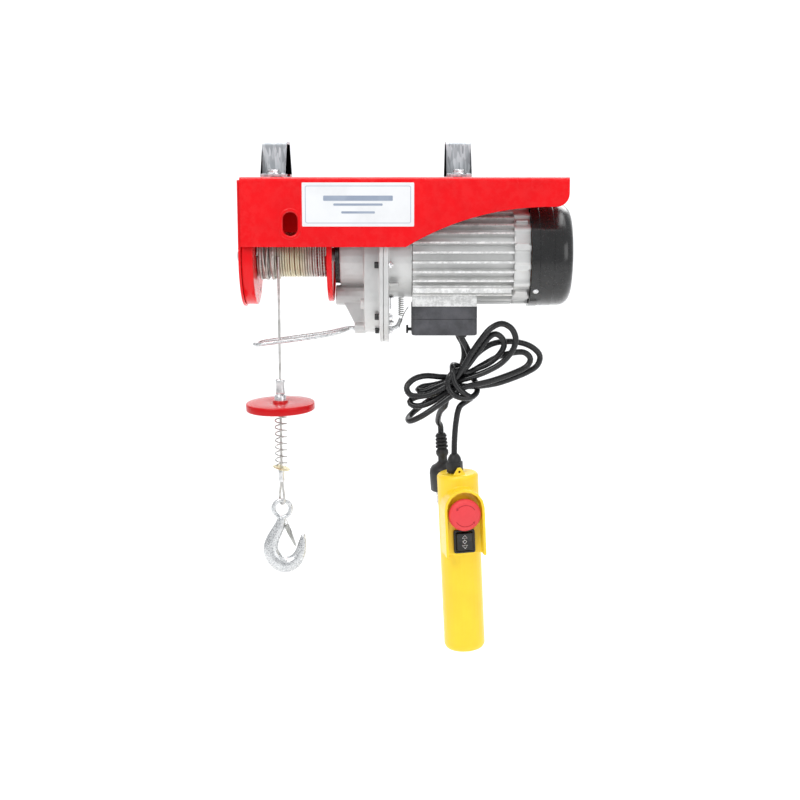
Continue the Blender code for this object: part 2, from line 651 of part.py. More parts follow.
def motor_flange():
    """The motor's front casting: a rim that closes the gear case and a bell with the front bearing seat."""
    left = JOINT_FACE + GAP
    right = left + MOTOR_FLANGE_THICKNESS
    rim = round_pair(RIM_UPPER_RADIUS, RIM_LOWER_RADIUS, GEAR_CENTRES)
    obj = piece("motor_flange", plate([rim], "x", left, right, AXIS), CAST_GREY)
    join(obj, rod("x", right - MM, BELL_RIGHT, MOTOR_RADIUS, AXIS, 40))
    inside = MOTOR_RADIUS - MOTOR_WALL
    seat = BEARING_RADIUS + GAP
    ring = [
        (inside, BELL_RIGHT + MM), (inside, right + 6 * MM), (seat + 4 * MM, right + 6 * MM),
        (seat + 4 * MM, BELL_RIGHT + MM),
    ]
    cut(obj, turned(ring, "x", AXIS, ROUND, hollow=True))
    cut(obj, rod("x", BELL_RIGHT - BEARING_WIDTH - 2 * GAP, BELL_RIGHT + MM, seat, AXIS, ROUND))
    cut(obj, rod("x", left - MM, BELL_RIGHT - 2 * MM, 9 * MM, AXIS))
    cut(obj, rod("x", left - MM, right - 1.5 * MM, LAYSHAFT_RADIUS + GAP, LAYSHAFT))
    lever = Vector((0, LEVER_Y, -LEVER_DEPTH))
    cut(obj, rod("x", left - MM, right + MM, LEVER_WIRE + GAP, lever))
    for y, z in screw_places():
        cut(obj, rod("x", left - MM, right + MM, SCREW_HOLE, Vector((0, y, z)), 12))


def motor_housing():
    """Finned housing with the pad that the switch box hangs from."""
    left = BELL_RIGHT + GAP
    step = 2 * pi / FIN_COUNT
    outline = []
    for k in range(FIN_COUNT):
        middle = (k + 0.5) * step
        for radius, offset in (
            (MOTOR_RADIUS, -0.16), (FIN_TIP, -0.1), (FIN_TIP, 0.1), (MOTOR_RADIUS, 0.16),
        ):
            turn = middle + offset * step
            outline.append((radius * cos(turn), radius * sin(turn)))
    obj = piece("motor_housing", plate([outline], "x", left, HOUSING_RIGHT, AXIS), CAST_GREY)
    half = PAD_WIDTH / 2
    bottom = -AXIS_DEPTH - PAD_DROP
    shelf = -AXIS_DEPTH - 34 * MM
    wide = MOTOR_RADIUS - 5.5 * MM
    join(obj, block((left, -wide, shelf - 9 * MM), (HOUSING_RIGHT - 2 * MM, wide, shelf)))
    join(obj, block((left, -half, bottom), (left + PAD_LENGTH, half, shelf - 5 * MM)))
    bore = MOTOR_RADIUS - MOTOR_WALL
    cut(obj, rod("x", left - MM, HOUSING_RIGHT + MM, bore, AXIS, ROUND))


def motor_inside(frame):
    """Shaft with its pinion, rotor, stator, bearings, spring-set brake and cooling fan."""
    core_right = CORE_LEFT + CORE_LENGTH
    bore = MOTOR_RADIUS - MOTOR_WALL - GAP
    stator = pipe("x", CORE_LEFT, core_right, ROTOR_RADIUS + AIR_GAP, bore, AXIS)
    piece("stator_core", stator, COPPER)
    inner = MOTOR_SHAFT_RADIUS + GAP
    piece("rotor_core", pipe("x", CORE_LEFT, core_right, inner, ROTOR_RADIUS, AXIS), STEEL, frame)
    front = BELL_RIGHT - BEARING_WIDTH - GAP
    ring = pipe("x", front, front + BEARING_WIDTH, inner, BEARING_RADIUS, AXIS, 24)
    piece("motor_bearing_front", ring, STEEL)
    rear = SHIELD_RIGHT - BEARING_WIDTH - 6 * MM
    ring = pipe("x", rear, rear + BEARING_WIDTH, inner, BEARING_RADIUS, AXIS, 24)
    piece("motor_bearing_rear", ring, STEEL)
    outline = gear_outline(FIRST_MODULE, FIRST_PINION, -pi / 2)
    pinion = plate([outline], "x", FIRST_STAGE[0] - MM / 2, FIRST_STAGE[1] + MM / 2, AXIS)
    shaft = piece("motor_shaft", pinion, STEEL, frame, smooth=0)
    join(shaft, rod("x", FIRST_STAGE[1], COVER_RIGHT - 14 * MM, MOTOR_SHAFT_RADIUS, AXIS))
    coil_left = SHIELD_RIGHT + GAP
    coil = pipe("x", coil_left, coil_left + 12 * MM, inner + 3 * MM, BRAKE_RADIUS, AXIS)
    piece("brake_coil", coil, COPPER)
    disc_left = coil_left + 13 * MM
    disc = pipe("x", disc_left, disc_left + 4 * MM, inner, BRAKE_RADIUS, AXIS)
    piece("brake_disc", disc, STEEL, frame)
    fan_left = disc_left + 6 * MM
    hub = pipe("x", fan_left, fan_left + 4 * MM, inner, FAN_RADIUS, AXIS)
    fan = piece("cooling_fan", hub, BLACK_PLASTIC, frame)
    for k in range(FAN_BLADES):
        blade = block((fan_left + 3 * MM, -MM, 14 * MM), (fan_left + 15 * MM, MM, FAN_RADIUS - 2 * MM))
        turn = Matrix.Translation(AXIS) @ Matrix.Rotation(2 * pi * k / FAN_BLADES, 4, "X")
        bmesh.ops.transform(blade, matrix=turn, verts=blade.verts)
        join(fan, blade)


def motor_end_shield():
    """Rear casting with the rear bearing's seat, short ribs round its edge."""
    left, right = HOUSING_RIGHT + GAP, SHIELD_RIGHT
    seat = BEARING_RADIUS + GAP
    outline = []
    step = 2 * pi / RIB_COUNT
    for k in range(RIB_COUNT):
        for radius, offset in ((FIN_TIP - 4 * MM, -0.2), (FIN_TIP, -0.1),
                               (FIN_TIP, 0.1), (FIN_TIP - 4 * MM, 0.2)):
            turn = (k + 0.5 + offset) * step
            outline.append((radius * cos(turn), radius * sin(turn)))
    obj = piece("motor_end_shield", plate([outline], "x", left, right, AXIS), CAST_GREY)
    ring = [
        (FIN_TIP - 9 * MM, left - MM), (seat + 4 * MM, left - MM), (seat + 4 * MM, right - 5 * MM),
        (FIN_TIP - 9 * MM, right - 5 * MM),
    ]
    cut(obj, turned(ring, "x", AXIS, ROUND, hollow=True))
    cut(obj, rod("x", left - MM, right - 6 * MM + GAP, seat, AXIS, 24))
    cut(obj, rod("x", left - MM, right + MM, 9 * MM, AXIS))


def fan_cover():
    """Black cover: a stepped cylinder with a coned end, open towards the motor and vented at its end."""
    left, right = SHIELD_RIGHT + GAP, COVER_RIGHT
    outside = [
        (COVER_RADIUS, left), (COVER_RADIUS, right - 22 * MM), (COVER_RADIUS - 3 * MM, right - 14 * MM),
        (COVER_RADIUS - 12 * MM, right - 3 * MM), (COVER_RADIUS - 18 * MM, right), (8 * MM, right + MM),
    ]
    inside = [(radius - COVER_WALL if radius > 9 * MM else radius, x) for radius, x in outside]
    inside = [(radius, x - (COVER_WALL if x >= right - 3 * MM else 0)) for radius, x in inside]
    shell = turned(outside + inside[::-1], "x", AXIS, hollow=True)
    piece("fan_cover", shell, BLACK_GLOSS)


def switch_box():
    """Two-part box under the motor's pad, with the run capacitor and the upper limit's plunger."""
    low_x, high_x = BOX_LEFT, BOX_LEFT + BOX_LENGTH
    half = BOX_WIDTH / 2
    split = BOX_TOP - BOX_BASE_HEIGHT
    base = piece("switch_box_base", block((low_x, -half, split), (high_x, half, BOX_TOP)), BOX_BLACK)
    wall = BOX_WALL
    cut(base, block((low_x + wall, -half + wall, split - MM), (high_x - wall, half - wall, BOX_TOP - wall)))
    lid = piece("switch_box_cover", block((low_x, -half, BOX_BOTTOM), (high_x, half, split - GAP)), BOX_BLACK)
    cut(lid, block((low_x + wall, -half + wall, BOX_BOTTOM + wall), (high_x - wall, half - wall, split + MM)))
    for place in (CONTROL_EXIT, MAINS_EXIT):
        cut(lid, rod("z", BOX_BOTTOM - MM, BOX_BOTTOM + 2 * wall, LEAD_HOLE, place))
    plunger = Vector((0, LEVER_Y, -PLUNGER_DEPTH))
    cut(lid, rod("x", low_x - MM, low_x + 2 * wall, PLUNGER_RADIUS + GAP, plunger))
    middle = Vector((0, half - wall - 16 * MM, BOX_TOP - BOX_HEIGHT / 2))
    can = rod("x", low_x + 12 * MM, high_x - 12 * MM, 13 * MM, middle, 24)
    piece("run_capacitor", can, CAST_GREY)
    frame = joint_frame("plunger_axis", (low_x, LEVER_Y, -PLUNGER_DEPTH))
    head = [
        (0, low_x + 9 * MM), (PLUNGER_RADIUS, low_x + 9 * MM), (PLUNGER_RADIUS, low_x - 4.5 * MM),
        (5.2 * MM, low_x - 4.5 * MM), (5.2 * MM, low_x - 6.5 * MM), (0, low_x - 6.5 * MM),
    ]
    piece("limit_plunger", turned(head, "x", plunger, 16), BLACK_PLASTIC, frame)


def stop_lever():
    """Wire lever: a shaft through the gear case, a hairpin round the rope and a crank up to its spring."""
    frame = joint_frame("lever_axis", (0, LEVER_Y, -LEVER_DEPTH))
    axis = (LEVER_Y, -LEVER_DEPTH)
    rope = ROPE_Y
    far, near = rope + 14 * MM, rope - 14 * MM
    heel_z, start_z, middle_z, end_z = (-LEVER_DEPTH - drop for drop in LOOP_DROPS)
    left = ROPE_X - 16 * MM
    route = [
        (LEVER_SHAFT_RIGHT + 7 * MM, axis[0], -LEVER_DEPTH + 12 * MM),
        (LEVER_SHAFT_RIGHT + 3.5 * MM, axis[0], -LEVER_DEPTH + 4 * MM),
        (LEVER_SHAFT_RIGHT - 3 * MM, *axis), (10 * MM, *axis), (-5 * MM, *axis),
        (LEVER_BOSS_LEFT - 2 * MM, *axis), (LEVER_BOSS_LEFT - 8 * MM, *axis),
        (-50 * MM, far, start_z), (-92 * MM, far, middle_z),
        (left, far - MM, end_z + 2 * MM), (left - 10 * MM, rope + 8 * MM, end_z),
        (left - 14 * MM, rope, end_z), (left - 10 * MM, rope - 8 * MM, end_z),
        (left, near + MM, end_z + 2 * MM), (-92 * MM, near, middle_z), (-50 * MM, near, start_z),
        (LEVER_BOSS_LEFT - 16 * MM, near + 5 * MM, heel_z),
        (LEVER_BOSS_LEFT - 8 * MM, axis[0] - 9 * MM, -LEVER_DEPTH),
    ]
    obj = piece("stop_lever", wire(smooth_route(route, 9 * MM), LEVER_WIRE, 2), ZINC, frame)
    low = Vector((LEVER_BOSS_LEFT - 11 * MM, LEVER_Y - 11 * MM, -LEVER_DEPTH - MM))
    join(obj, block(low, low + Vector((6 * MM, 11 * MM, 2 * MM))))
    foot = Vector((LEVER_SHAFT_RIGHT + 7 * MM, LEVER_Y, -LEVER_DEPTH + 15 * MM))
    top = -AXIS_DEPTH - sqrt(MOTOR_RADIUS**2 - LEVER_Y**2) - 2 * GAP
    coil_top, coil_bottom = top - 4 * MM, foot.z + 3 * MM
    route = [Vector((foot.x, foot.y, top))]
    route += helix(Vector((foot.x, foot.y, 0)), 2.9 * MM, coil_top, coil_bottom, 6)
    route.append(foot)
    piece("lever_spring", wire(route, 0.6 * MM, 1), STEEL)


def rope_and_hook():
    line = joint_frame("hook_line", (ROPE_X, ROPE_Y, SLEEVE_TOP))
    at = Vector((ROPE_X, ROPE_Y, 0))
    fall = rod("z", SLEEVE_TOP + GAP, -AXIS_DEPTH, ROPE_RADIUS, at, 12)
    piece("rope_fall", fall, ROPE_STEEL)
    tail_bottom = FERRULE_BOTTOM + 5 * MM
    piece("rope_tail", rod("z", tail_bottom, SLEEVE_TOP, ROPE_RADIUS, at, 12), ROPE_STEEL, line)
    bore = ROPE_RADIUS + GAP
    sleeve = pipe("z", SLEEVE_TOP - SLEEVE_LENGTH, SLEEVE_TOP, bore, SLEEVE_RADIUS, at, 20)
    piece("rope_stop_sleeve", sleeve, ALUMINIUM, line)
    weight_frame = joint_frame("weight_slide", (ROPE_X, ROPE_Y, WEIGHT_TOP), line)
    collar_top = WEIGHT_TOP + COLLAR_HEIGHT
    disc = [
        (bore, collar_top), (COLLAR_RADIUS, collar_top), (COLLAR_RADIUS, WEIGHT_TOP + 2 * MM),
        (COLLAR_RADIUS + 2 * MM, WEIGHT_TOP), (WEIGHT_RADIUS - MM, WEIGHT_TOP),
        (WEIGHT_RADIUS, WEIGHT_TOP - MM), (WEIGHT_RADIUS, WEIGHT_BOTTOM + MM),
        (WEIGHT_RADIUS - MM, WEIGHT_BOTTOM), (bore, WEIGHT_BOTTOM),
    ]
    piece("limit_weight", turned(disc, "z", at, hollow=True), RED_PAINT, weight_frame)
    top, bottom = WEIGHT_BOTTOM - GAP - SPRING_WIRE, SPRING_BOTTOM + SPRING_WIRE
    coil = helix(at, SPRING_RADIUS, top, bottom, SPRING_TURNS)
    piece("limit_spring", wire(coil, SPRING_WIRE, 1), STEEL, line)
    washer = pipe("z", WASHER_BOTTOM, SPRING_BOTTOM - GAP, bore, WASHER_RADIUS, at, 24)
    piece("spring_washer", washer, YELLOW_ZINC, line)
    ferrule_top = WASHER_BOTTOM - GAP
    ferrule = [
        (0, tail_bottom - GAP), (bore, tail_bottom - GAP), (bore, ferrule_top),
        (FERRULE_RADIUS, ferrule_top), (FERRULE_RADIUS, FERRULE_BOTTOM), (0, FERRULE_BOTTOM),
    ]
    piece("rope_ferrule", turned(ferrule, "z", at, 20), ALUMINIUM, line)
    half = EYE_BAR + GAP + ROPE_RADIUS + GAP
    centre_z = SWING_Z + half
    start = FERRULE_BOTTOM - GAP
    route = [(0, -1.9 * MM, start), (0, -1.9 * MM, start - 3 * MM),
             (0, -half, centre_z + 5 * MM), (0, -half, centre_z)]
    for k in range(1, 8):
        turn = pi * k / 8
        route.append((0, -half * cos(turn), centre_z - half * sin(turn)))
    route += [(0, half, centre_z), (0, half, centre_z + 5 * MM),
              (0, 1.9 * MM, start - 3 * MM), (0, 1.9 * MM, start)]
    loop = wire([Vector(point) + at for point in route], ROPE_RADIUS, 2)
    piece("rope_eye", loop, ROPE_STEEL, line)
    load_hook(line)


def load_hook(line):
    """Forged hook with a round eye, and its sprung latch."""
    frame = joint_frame("hook_swing", (ROPE_X, ROPE_Y, SWING_Z), line)
    stations = [
        (0, -12, 5.0), (-2.5, -20, 6.0), (-7, -29, 7.2), (-12, -39, 8.4), (-14.8, -50, 9.4),
        (-12.5, -60, 10.1), (-6, -68, 10.7), (3, -71.5, 10.6), (12, -69, 9.6), (19, -62, 8.0),
        (22.8, -53, 6.6), (24.6, -43, 5.0), (25.6, -35.5, 3.2),
    ]
    route = [Vector((x * MM, 0, z * MM)) for x, z, _ in stations]
    radii = [radius * MM for _, _, radius in stations]
    fine, fine_radii = [], []
    for k in range(len(route) - 1):
        fine += [route[k], (route[k] + route[k + 1]) / 2]
        fine_radii += [radii[k], (radii[k] + radii[k + 1]) / 2]
    body = wire(fine + [route[-1]], 1, 2, fine_radii + [radii[-1]])
    bmesh.ops.scale(body, vec=(1, HOOK_FLATNESS, 1), verts=body.verts)
    bmesh.ops.translate(body, vec=HOOK_EYE, verts=body.verts)
    hook = piece("load_hook", body, ZINC, frame)
    ring_radius = EYE_HOLE + EYE_BAR
    ring = wire([Vector((ring_radius * cos(t), 0, ring_radius * sin(t))) for t in
                 (2 * pi * k / 24 for k in range(24))], EYE_BAR, 2, closed=True)
    bmesh.ops.translate(ring, vec=HOOK_EYE, verts=ring.verts)
    join(hook, ring)
    join(hook, rod("front", -2 * MM, 2 * MM, 3.4 * MM, LATCH_PIVOT))
    low = LATCH_PIVOT + Vector((-8 * MM, -2 * MM, -3 * MM))
    join(hook, block(low, LATCH_PIVOT + Vector((0, 2 * MM, 3 * MM))))
    cut(hook, rod("front", -4 * MM, 4 * MM, 1.4 * MM, LATCH_PIVOT, 12))
    cheek = joint_frame("latch_axis", LATCH_PIVOT, frame)
    tip = Vector((9.6 * MM, 0, -26.5 * MM))
    lean = atan2(tip.x, -tip.z)
    bar = block((-1.2 * MM, -4.6 * MM, -tip.length), (1.8 * MM, 4.6 * MM, -5 * MM))
    place = Matrix.Translation(LATCH_PIVOT) @ Matrix.Rotation(-lean, 4, "Y")
    bmesh.ops.transform(bar, matrix=place, verts=bar.verts)
    latch = piece("hook_latch", bar, STEEL, cheek)
    for side in (-1, 1):
        low, high = sorted((side * 2.5 * MM, side * 4.4 * MM))
        join(latch, rod("front", low, high, 3.2 * MM, LATCH_PIVOT))
        ear = block((-0.9 * MM, low + GAP / 2, -8 * MM), (1.5 * MM, high - GAP / 2, 0))
        bmesh.ops.transform(ear, matrix=place, verts=ear.verts)
        join(latch, ear)


def leads():
    """Control and mains leads: the stretches outside the hank, and the hank's own outer shape."""
    start = BOX_BOTTOM + BOX_WALL
    control = [CONTROL_EXIT + Vector((0, 0, start)), CONTROL_EXIT + Vector((0, 0, BOX_BOTTOM - 5 * MM)),
               Vector((121 * MM, -13 * MM, -204.5 * MM))]
    piece("control_lead_upper", wire(smooth_route(control, 6 * MM), LEAD_RADIUS, 2), LEAD_BLACK)
    mains = [MAINS_EXIT + Vector((0, 0, start)), MAINS_EXIT + Vector((0, 0, BOX_BOTTOM - 5 * MM)),
             Vector((118 * MM, 8 * MM, -205 * MM))]
    piece("mains_lead_upper", wire(smooth_route(mains, 6 * MM), LEAD_RADIUS, 2), LEAD_BLACK)
    outline = [
        (41, -252), (47, -242), (62, -237), (90, -234), (104, -226), (112, -211), (126, -210),
        (137, -196), (142, -178), (154, -167), (170, -168), (182, -180), (187, -196),
        (206, -203), (219, -218), (212, -234), (190, -247), (160, -257), (140, -266),
        (128, -280), (114, -278), (98, -276), (74, -288), (54, -301), (43, -300), (41, -288),
        (52, -274), (42, -266),
    ]
    middle = Vector((0, HANK_Y, 0))
    shape = plate([[(x * MM, z * MM) for x, z in outline]], "front", -HANK_DEPTH / 2, HANK_DEPTH / 2, middle)
    piece("cable_hank", shape, LEAD_BLACK, smooth=0)
    gland = PENDANT @ Vector((GLAND_OFFSET, 0, GLAND_HEIGHT + GAP))
    control = [Vector((113 * MM, -10 * MM, -280.5 * MM)), Vector((109 * MM, -9.5 * MM, -300 * MM)),
               Vector((107.4 * MM, -9.8 * MM, -322 * MM)), gland]
    piece("control_lead_lower", wire(smooth_route(control, 8 * MM), LEAD_RADIUS, 2), LEAD_BLACK)
    up = (PLUG_TOP - PLUG_BOTTOM).normalized()
    mains = [Vector((96 * MM, 4 * MM, -281 * MM)), Vector((90 * MM, 16 * MM, -291 * MM)),
             Vector((88 * MM, 30 * MM, -305 * MM)), PLUG_TOP + 10 * MM * up, PLUG_TOP + 2 * GAP * up]
    piece("mains_lead_lower", wire(smooth_route(mains, 8 * MM), LEAD_RADIUS, 2), LEAD_BLACK)
    mains_plug()


def mains_plug():
    """Moulded plug with its ribbed strain relief, hanging behind the pendant."""
    axis = PLUG_BOTTOM - PLUG_TOP
    length = axis.length
    profile = [
        (0, 0), (5.2 * MM, 0), (5.8 * MM, -20 * MM), (8 * MM, -23 * MM), (8 * MM, -27 * MM),
        (5.6 * MM, -30 * MM), (6.5 * MM, -36 * MM), (15 * MM, -42 * MM), (PLUG_RADIUS, -50 * MM),
        (PLUG_RADIUS, -length), (0, -length),
    ]
    turn = Vector((0, 0, -1)).rotation_difference(axis).to_matrix().to_4x4()
    place = Matrix.Translation(PLUG_TOP) @ turn
    body = turned(profile, "z", sides=20)
    bmesh.ops.transform(body, matrix=place, verts=body.verts)
    plug = piece("mains_plug", body, BLACK_PLASTIC)
    for side in (-1, 1):
        pin = rod("z", -length - 19 * MM, -length + MM, 2.4 * MM, Vector((side * 9.5 * MM, 0, 0)), 12)
        bmesh.ops.transform(pin, matrix=place, verts=pin.verts)
        join(plug, pin)


def on_pendant(bm):
    bmesh.ops.transform(bm, matrix=PENDANT, verts=bm.verts)
    return bm


def pendant():
    """Pendant in two shells with the emergency stop, the hoist rocker and the lead's gland."""
    radius, length, wall = PENDANT_RADIUS, PENDANT_LENGTH, PENDANT_WALL
    outside = [(0, 0), (radius - 3 * MM, 0), (radius, -3 * MM), (radius, -length + 14 * MM),
               (radius - 5 * MM, -length + 5 * MM), (radius - 14 * MM, -length), (0, -length)]
    inside = [(0, -wall), (radius - wall, -wall), (radius - wall, -length + 14 * MM),
              (radius - 14 * MM, -length + wall), (0, -length + wall)]
    wide = 2 * radius
    shells = {}
    for name, low, high in (("pendant_front", -wide, -GAP / 2), ("pendant_back", GAP / 2, wide)):
        shell = piece(name, on_pendant(turned(outside, "z", sides=ROUND)), YELLOW_PLASTIC)
        cut(shell, on_pendant(turned(inside, "z", sides=ROUND)))
        other_low, other_high = (high, wide) if low < 0 else (-wide, low)
        cut(shell, on_pendant(block((-wide, other_low, -2 * length), (wide, other_high, wide))))
        shells[name] = shell
    front, back = shells["pendant_front"], shells["pendant_back"]
    half = SHROUD_WIDTH / 2
    rim, hole = [], []
    for k in range(9):
        turn = pi * k / 8
        rim.append((half * cos(turn), SHROUD_TOP - half + half * sin(turn)))
        less = half - SHROUD_WALL
        hole.append((less * cos(turn), SHROUD_TOP - half + less * sin(turn)))
    rim += [(-half, SHROUD_BOTTOM), (half, SHROUD_BOTTOM)]
    hole += [(-half + SHROUD_WALL, 2 * SHROUD_BOTTOM), (half - SHROUD_WALL, 2 * SHROUD_BOTTOM)]
    join(front, on_pendant(plate([rim], "front", GAP / 2, -SHROUD_FRONT)))
    cut(front, on_pendant(plate([hole], "front", -PANEL_Y, -2 * SHROUD_FRONT)))
    inner = half - 2 * SHROUD_WALL
    hollow = block((-inner, PANEL_Y + wall, SHROUD_BOTTOM + wall), (inner, wall, SHROUD_TOP - 10 * MM))
    cut(front, on_pendant(hollow))
    button = Vector((0, 0, BUTTON_Z))
    cut(front, on_pendant(rod("front", 0, -2 * PANEL_Y, STEM_RADIUS + GAP, button)))
    x, z = ROCKER_SIZE.x / 2 + GAP, ROCKER_SIZE.z / 2 + GAP
    cut(front, on_pendant(block((-x, 2 * PANEL_Y, ROCKER_Z - z), (x, PANEL_Y + 2 * wall, ROCKER_Z + z))))
    join(back, on_pendant(block((-3 * MM, MM, -length - 9 * MM), (3 * MM, 5 * MM, -length + 2 * MM))))
    lug = [(-9 * MM, -2 * MM), (9 * MM, -2 * MM), (2 * MM, 9 * MM), (-2 * MM, 9 * MM)]
    eye = plate([lug, circle(1.6 * MM, 12, (0, 3.5 * MM))],
                "front", PENDANT_RADIUS - 13 * MM, PENDANT_RADIUS - 10 * MM)
    join(front, on_pendant(eye))
    gland = Vector((GLAND_OFFSET, 0, 0))
    for shell in (front, back):
        cut(shell, on_pendant(rod("z", -2 * wall, wall, 7.5 * MM + GAP, gland, 24)))
    controls(button)
    nut = on_pendant(plate([hexagon(1.75 * GLAND_RADIUS)], "z", 2 * GAP, 14 * MM, gland))
    body = piece("pendant_gland", nut, BLACK_PLASTIC)
    cone = [(0, GLAND_HEIGHT), (4.6 * MM, GLAND_HEIGHT), (8.4 * MM, 17 * MM),
            (8.4 * MM, 13 * MM), (0, 13 * MM)]
    join(body, on_pendant(turned(cone, "z", gland, 20)))
    join(body, on_pendant(rod("z", -9 * MM, MM, 7.5 * MM, gland, 24)))


def controls(button):
    """Emergency stop on its sliding stem, and the rocker in its bezel."""
    slide = joint_frame("stop_slide", PENDANT @ button)
    face = -PANEL_Y
    stem = on_pendant(rod("front", face - 16 * MM, face + 6 * MM, STEM_RADIUS, button))
    piece("stop_stem", stem, STEEL, slide)
    twist = joint_frame("stop_twist", PENDANT @ button, slide)
    back = face + 6 * MM + GAP
    cap = [
        (0, back + 14 * MM), (BUTTON_RADIUS - 9 * MM, back + 13.4 * MM),
        (BUTTON_RADIUS - 2.5 * MM, back + 10.5 * MM), (BUTTON_RADIUS, back + 7 * MM),
        (BUTTON_RADIUS, back + 4.5 * MM), (BUTTON_RADIUS - 5 * MM, back), (0, back),
    ]
    piece("stop_button", on_pendant(turned(cap, "front", button, 28)), RED_PLASTIC, twist)
    x, z = BEZEL_SIZE.x / 2, BEZEL_SIZE.z / 2
    low, high = PANEL_Y - GAP - BEZEL_SIZE.y, PANEL_Y - GAP
    frame = on_pendant(block((-x, low, ROCKER_Z - z), (x, high, ROCKER_Z + z)))
    bezel = piece("rocker_bezel", frame, BLACK_PLASTIC)
    x, z = ROCKER_SIZE.x / 2, ROCKER_SIZE.z / 2
    room = 1.2 * MM
    cut(bezel, on_pendant(block((-x - GAP, 2 * low, ROCKER_Z - z), (x + GAP, 0, ROCKER_Z + z))))
    tilt = joint_frame("rocker_axis", PENDANT @ Vector((0, PANEL_Y, ROCKER_Z)))
    outline = [
        (-z + room, -PANEL_Y - 1 * MM), (-z + room, -PANEL_Y + 6.6 * MM), (0, -PANEL_Y + 4.6 * MM),
        (z - room, -PANEL_Y + 6.6 * MM), (z - room, -PANEL_Y - 1 * MM), (0, -PANEL_Y - 5 * MM),
    ]
    rocker = plate([outline], "x", -x, x)
    swap = Matrix(((1, 0, 0, 0), (0, 0, -1, 0), (0, 1, 0, ROCKER_Z), (0, 0, 0, 1)))
    bmesh.ops.transform(rocker, matrix=swap, verts=rocker.verts)
    piece("rocker", on_pendant(rocker), BLACK_GLOSS, tilt)


clear_scene()
PARTS = new_collection("wire_rope_hoist")
CUTTERS = new_collection("cutters", hidden=True)
PENDANT = (
    Matrix.Translation(PENDANT_TOP)
    @ Matrix.Rotation(PENDANT_TILT, 4, "Y")
    @ Matrix.Rotation(PENDANT_YAW, 4, "Z")
)

RED_PAINT = material("red_paint", (0.72, 0.005, 0.01), 0.25)
GALVANISED = material("galvanised_steel", (0.55, 0.57, 0.58), 0.42, 0.9)
ZINC = material("zinc_plate", (0.68, 0.69, 0.7), 0.35, 0.9)
YELLOW_ZINC = material("yellow_zinc", (0.72, 0.66, 0.42), 0.35, 0.9)
STEEL = material("steel", (0.5, 0.5, 0.5), 0.35, 1.0)
ALUMINIUM = material("aluminium", (0.78, 0.78, 0.78), 0.3, 1.0)
BRONZE = material("bronze", (0.6, 0.42, 0.2), 0.4, 1.0)
COPPER = material("copper_winding", (0.6, 0.28, 0.13), 0.45, 0.8)
ROPE_STEEL = material("rope_steel", (0.52, 0.52, 0.5), 0.45, 0.9)
CAST_GREY = material("cast_grey", (0.6, 0.6, 0.59), 0.5)
BLACK_GLOSS = material("black_gloss", (0.015, 0.015, 0.015), 0.2)
BLACK_PLASTIC = material("black_plastic", (0.03, 0.03, 0.03), 0.45)
BOX_BLACK = material("box_black", (0.06, 0.06, 0.065), 0.7)
LEAD_BLACK = material("lead_black", (0.025, 0.025, 0.025), 0.4)
YELLOW_PLASTIC = material("yellow_plastic", (0.95, 0.6, 0.03), 0.4)
RED_PLASTIC = material("red_plastic", (0.8, 0.06, 0.07), 0.5)

channel_frame()
beam_straps()
strap_bolts()
drum_support_plate()
drum(joint_frame("drum_axis", AXIS))
layshaft(joint_frame("layshaft_axis", LAYSHAFT))
gear_case()
bearing_cover()
case_screws()
motor_flange()
motor_housing()
motor_inside(joint_frame("motor_axis", AXIS))
motor_end_shield()
fan_cover()
switch_box()
stop_lever()
rope_and_hook()
leads()
pendant()
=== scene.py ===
"""Looks of the wire rope hoist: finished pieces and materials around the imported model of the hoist."""

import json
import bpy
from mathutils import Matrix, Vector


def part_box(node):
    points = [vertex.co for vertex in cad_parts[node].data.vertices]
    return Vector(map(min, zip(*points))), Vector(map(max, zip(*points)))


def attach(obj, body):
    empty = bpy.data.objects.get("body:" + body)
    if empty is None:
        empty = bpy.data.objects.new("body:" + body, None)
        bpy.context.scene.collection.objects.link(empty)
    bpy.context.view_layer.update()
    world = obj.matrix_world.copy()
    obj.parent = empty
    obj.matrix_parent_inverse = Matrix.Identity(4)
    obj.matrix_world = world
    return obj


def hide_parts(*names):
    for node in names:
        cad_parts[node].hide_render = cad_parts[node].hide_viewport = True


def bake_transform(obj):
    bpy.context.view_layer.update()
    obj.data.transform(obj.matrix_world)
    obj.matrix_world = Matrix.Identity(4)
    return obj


bl_info = {
    "name": "Wire rope hoist looks",
    "version": (1, 0, 0),
    "blender": (4, 5, 0),
    "location": "View3D > Sidebar > Hoist",
    "description": "Builds the finished pieces, materials and stage of a mini electric wire rope hoist",
    "category": "Object",
}

from math import atan2, cos, pi, radians, sin, sqrt, tan

import bmesh
import bpy
from mathutils import Matrix, Vector

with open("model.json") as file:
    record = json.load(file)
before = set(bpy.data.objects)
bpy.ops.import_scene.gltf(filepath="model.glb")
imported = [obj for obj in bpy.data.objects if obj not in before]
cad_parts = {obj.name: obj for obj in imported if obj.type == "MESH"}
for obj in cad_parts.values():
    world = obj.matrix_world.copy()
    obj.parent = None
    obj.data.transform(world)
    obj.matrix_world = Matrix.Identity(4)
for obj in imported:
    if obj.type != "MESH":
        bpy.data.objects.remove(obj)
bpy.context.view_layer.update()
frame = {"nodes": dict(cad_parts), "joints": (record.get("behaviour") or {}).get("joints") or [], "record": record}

MM = 0.001


def low(node):
    return Vector(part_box(node)[0])


def high(node):
    return Vector(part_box(node)[1])


def middle(node):
    return (low(node) + high(node)) / 2


AXIS = Vector((0, 0, middle("rope_drum").z))  # shared by the drum and the motor
FALL = middle("rope_fall")
LAYSHAFT_Z = middle("layshaft_wheel").z
PENDANT = (
    Matrix.Translation((111.3 * MM, -10 * MM, -362.4 * MM))
    @ Matrix.Rotation(radians(-2.8), 4, "Y")
    @ Matrix.Rotation(radians(8), 4, "Z")
)


# Node groups and materials


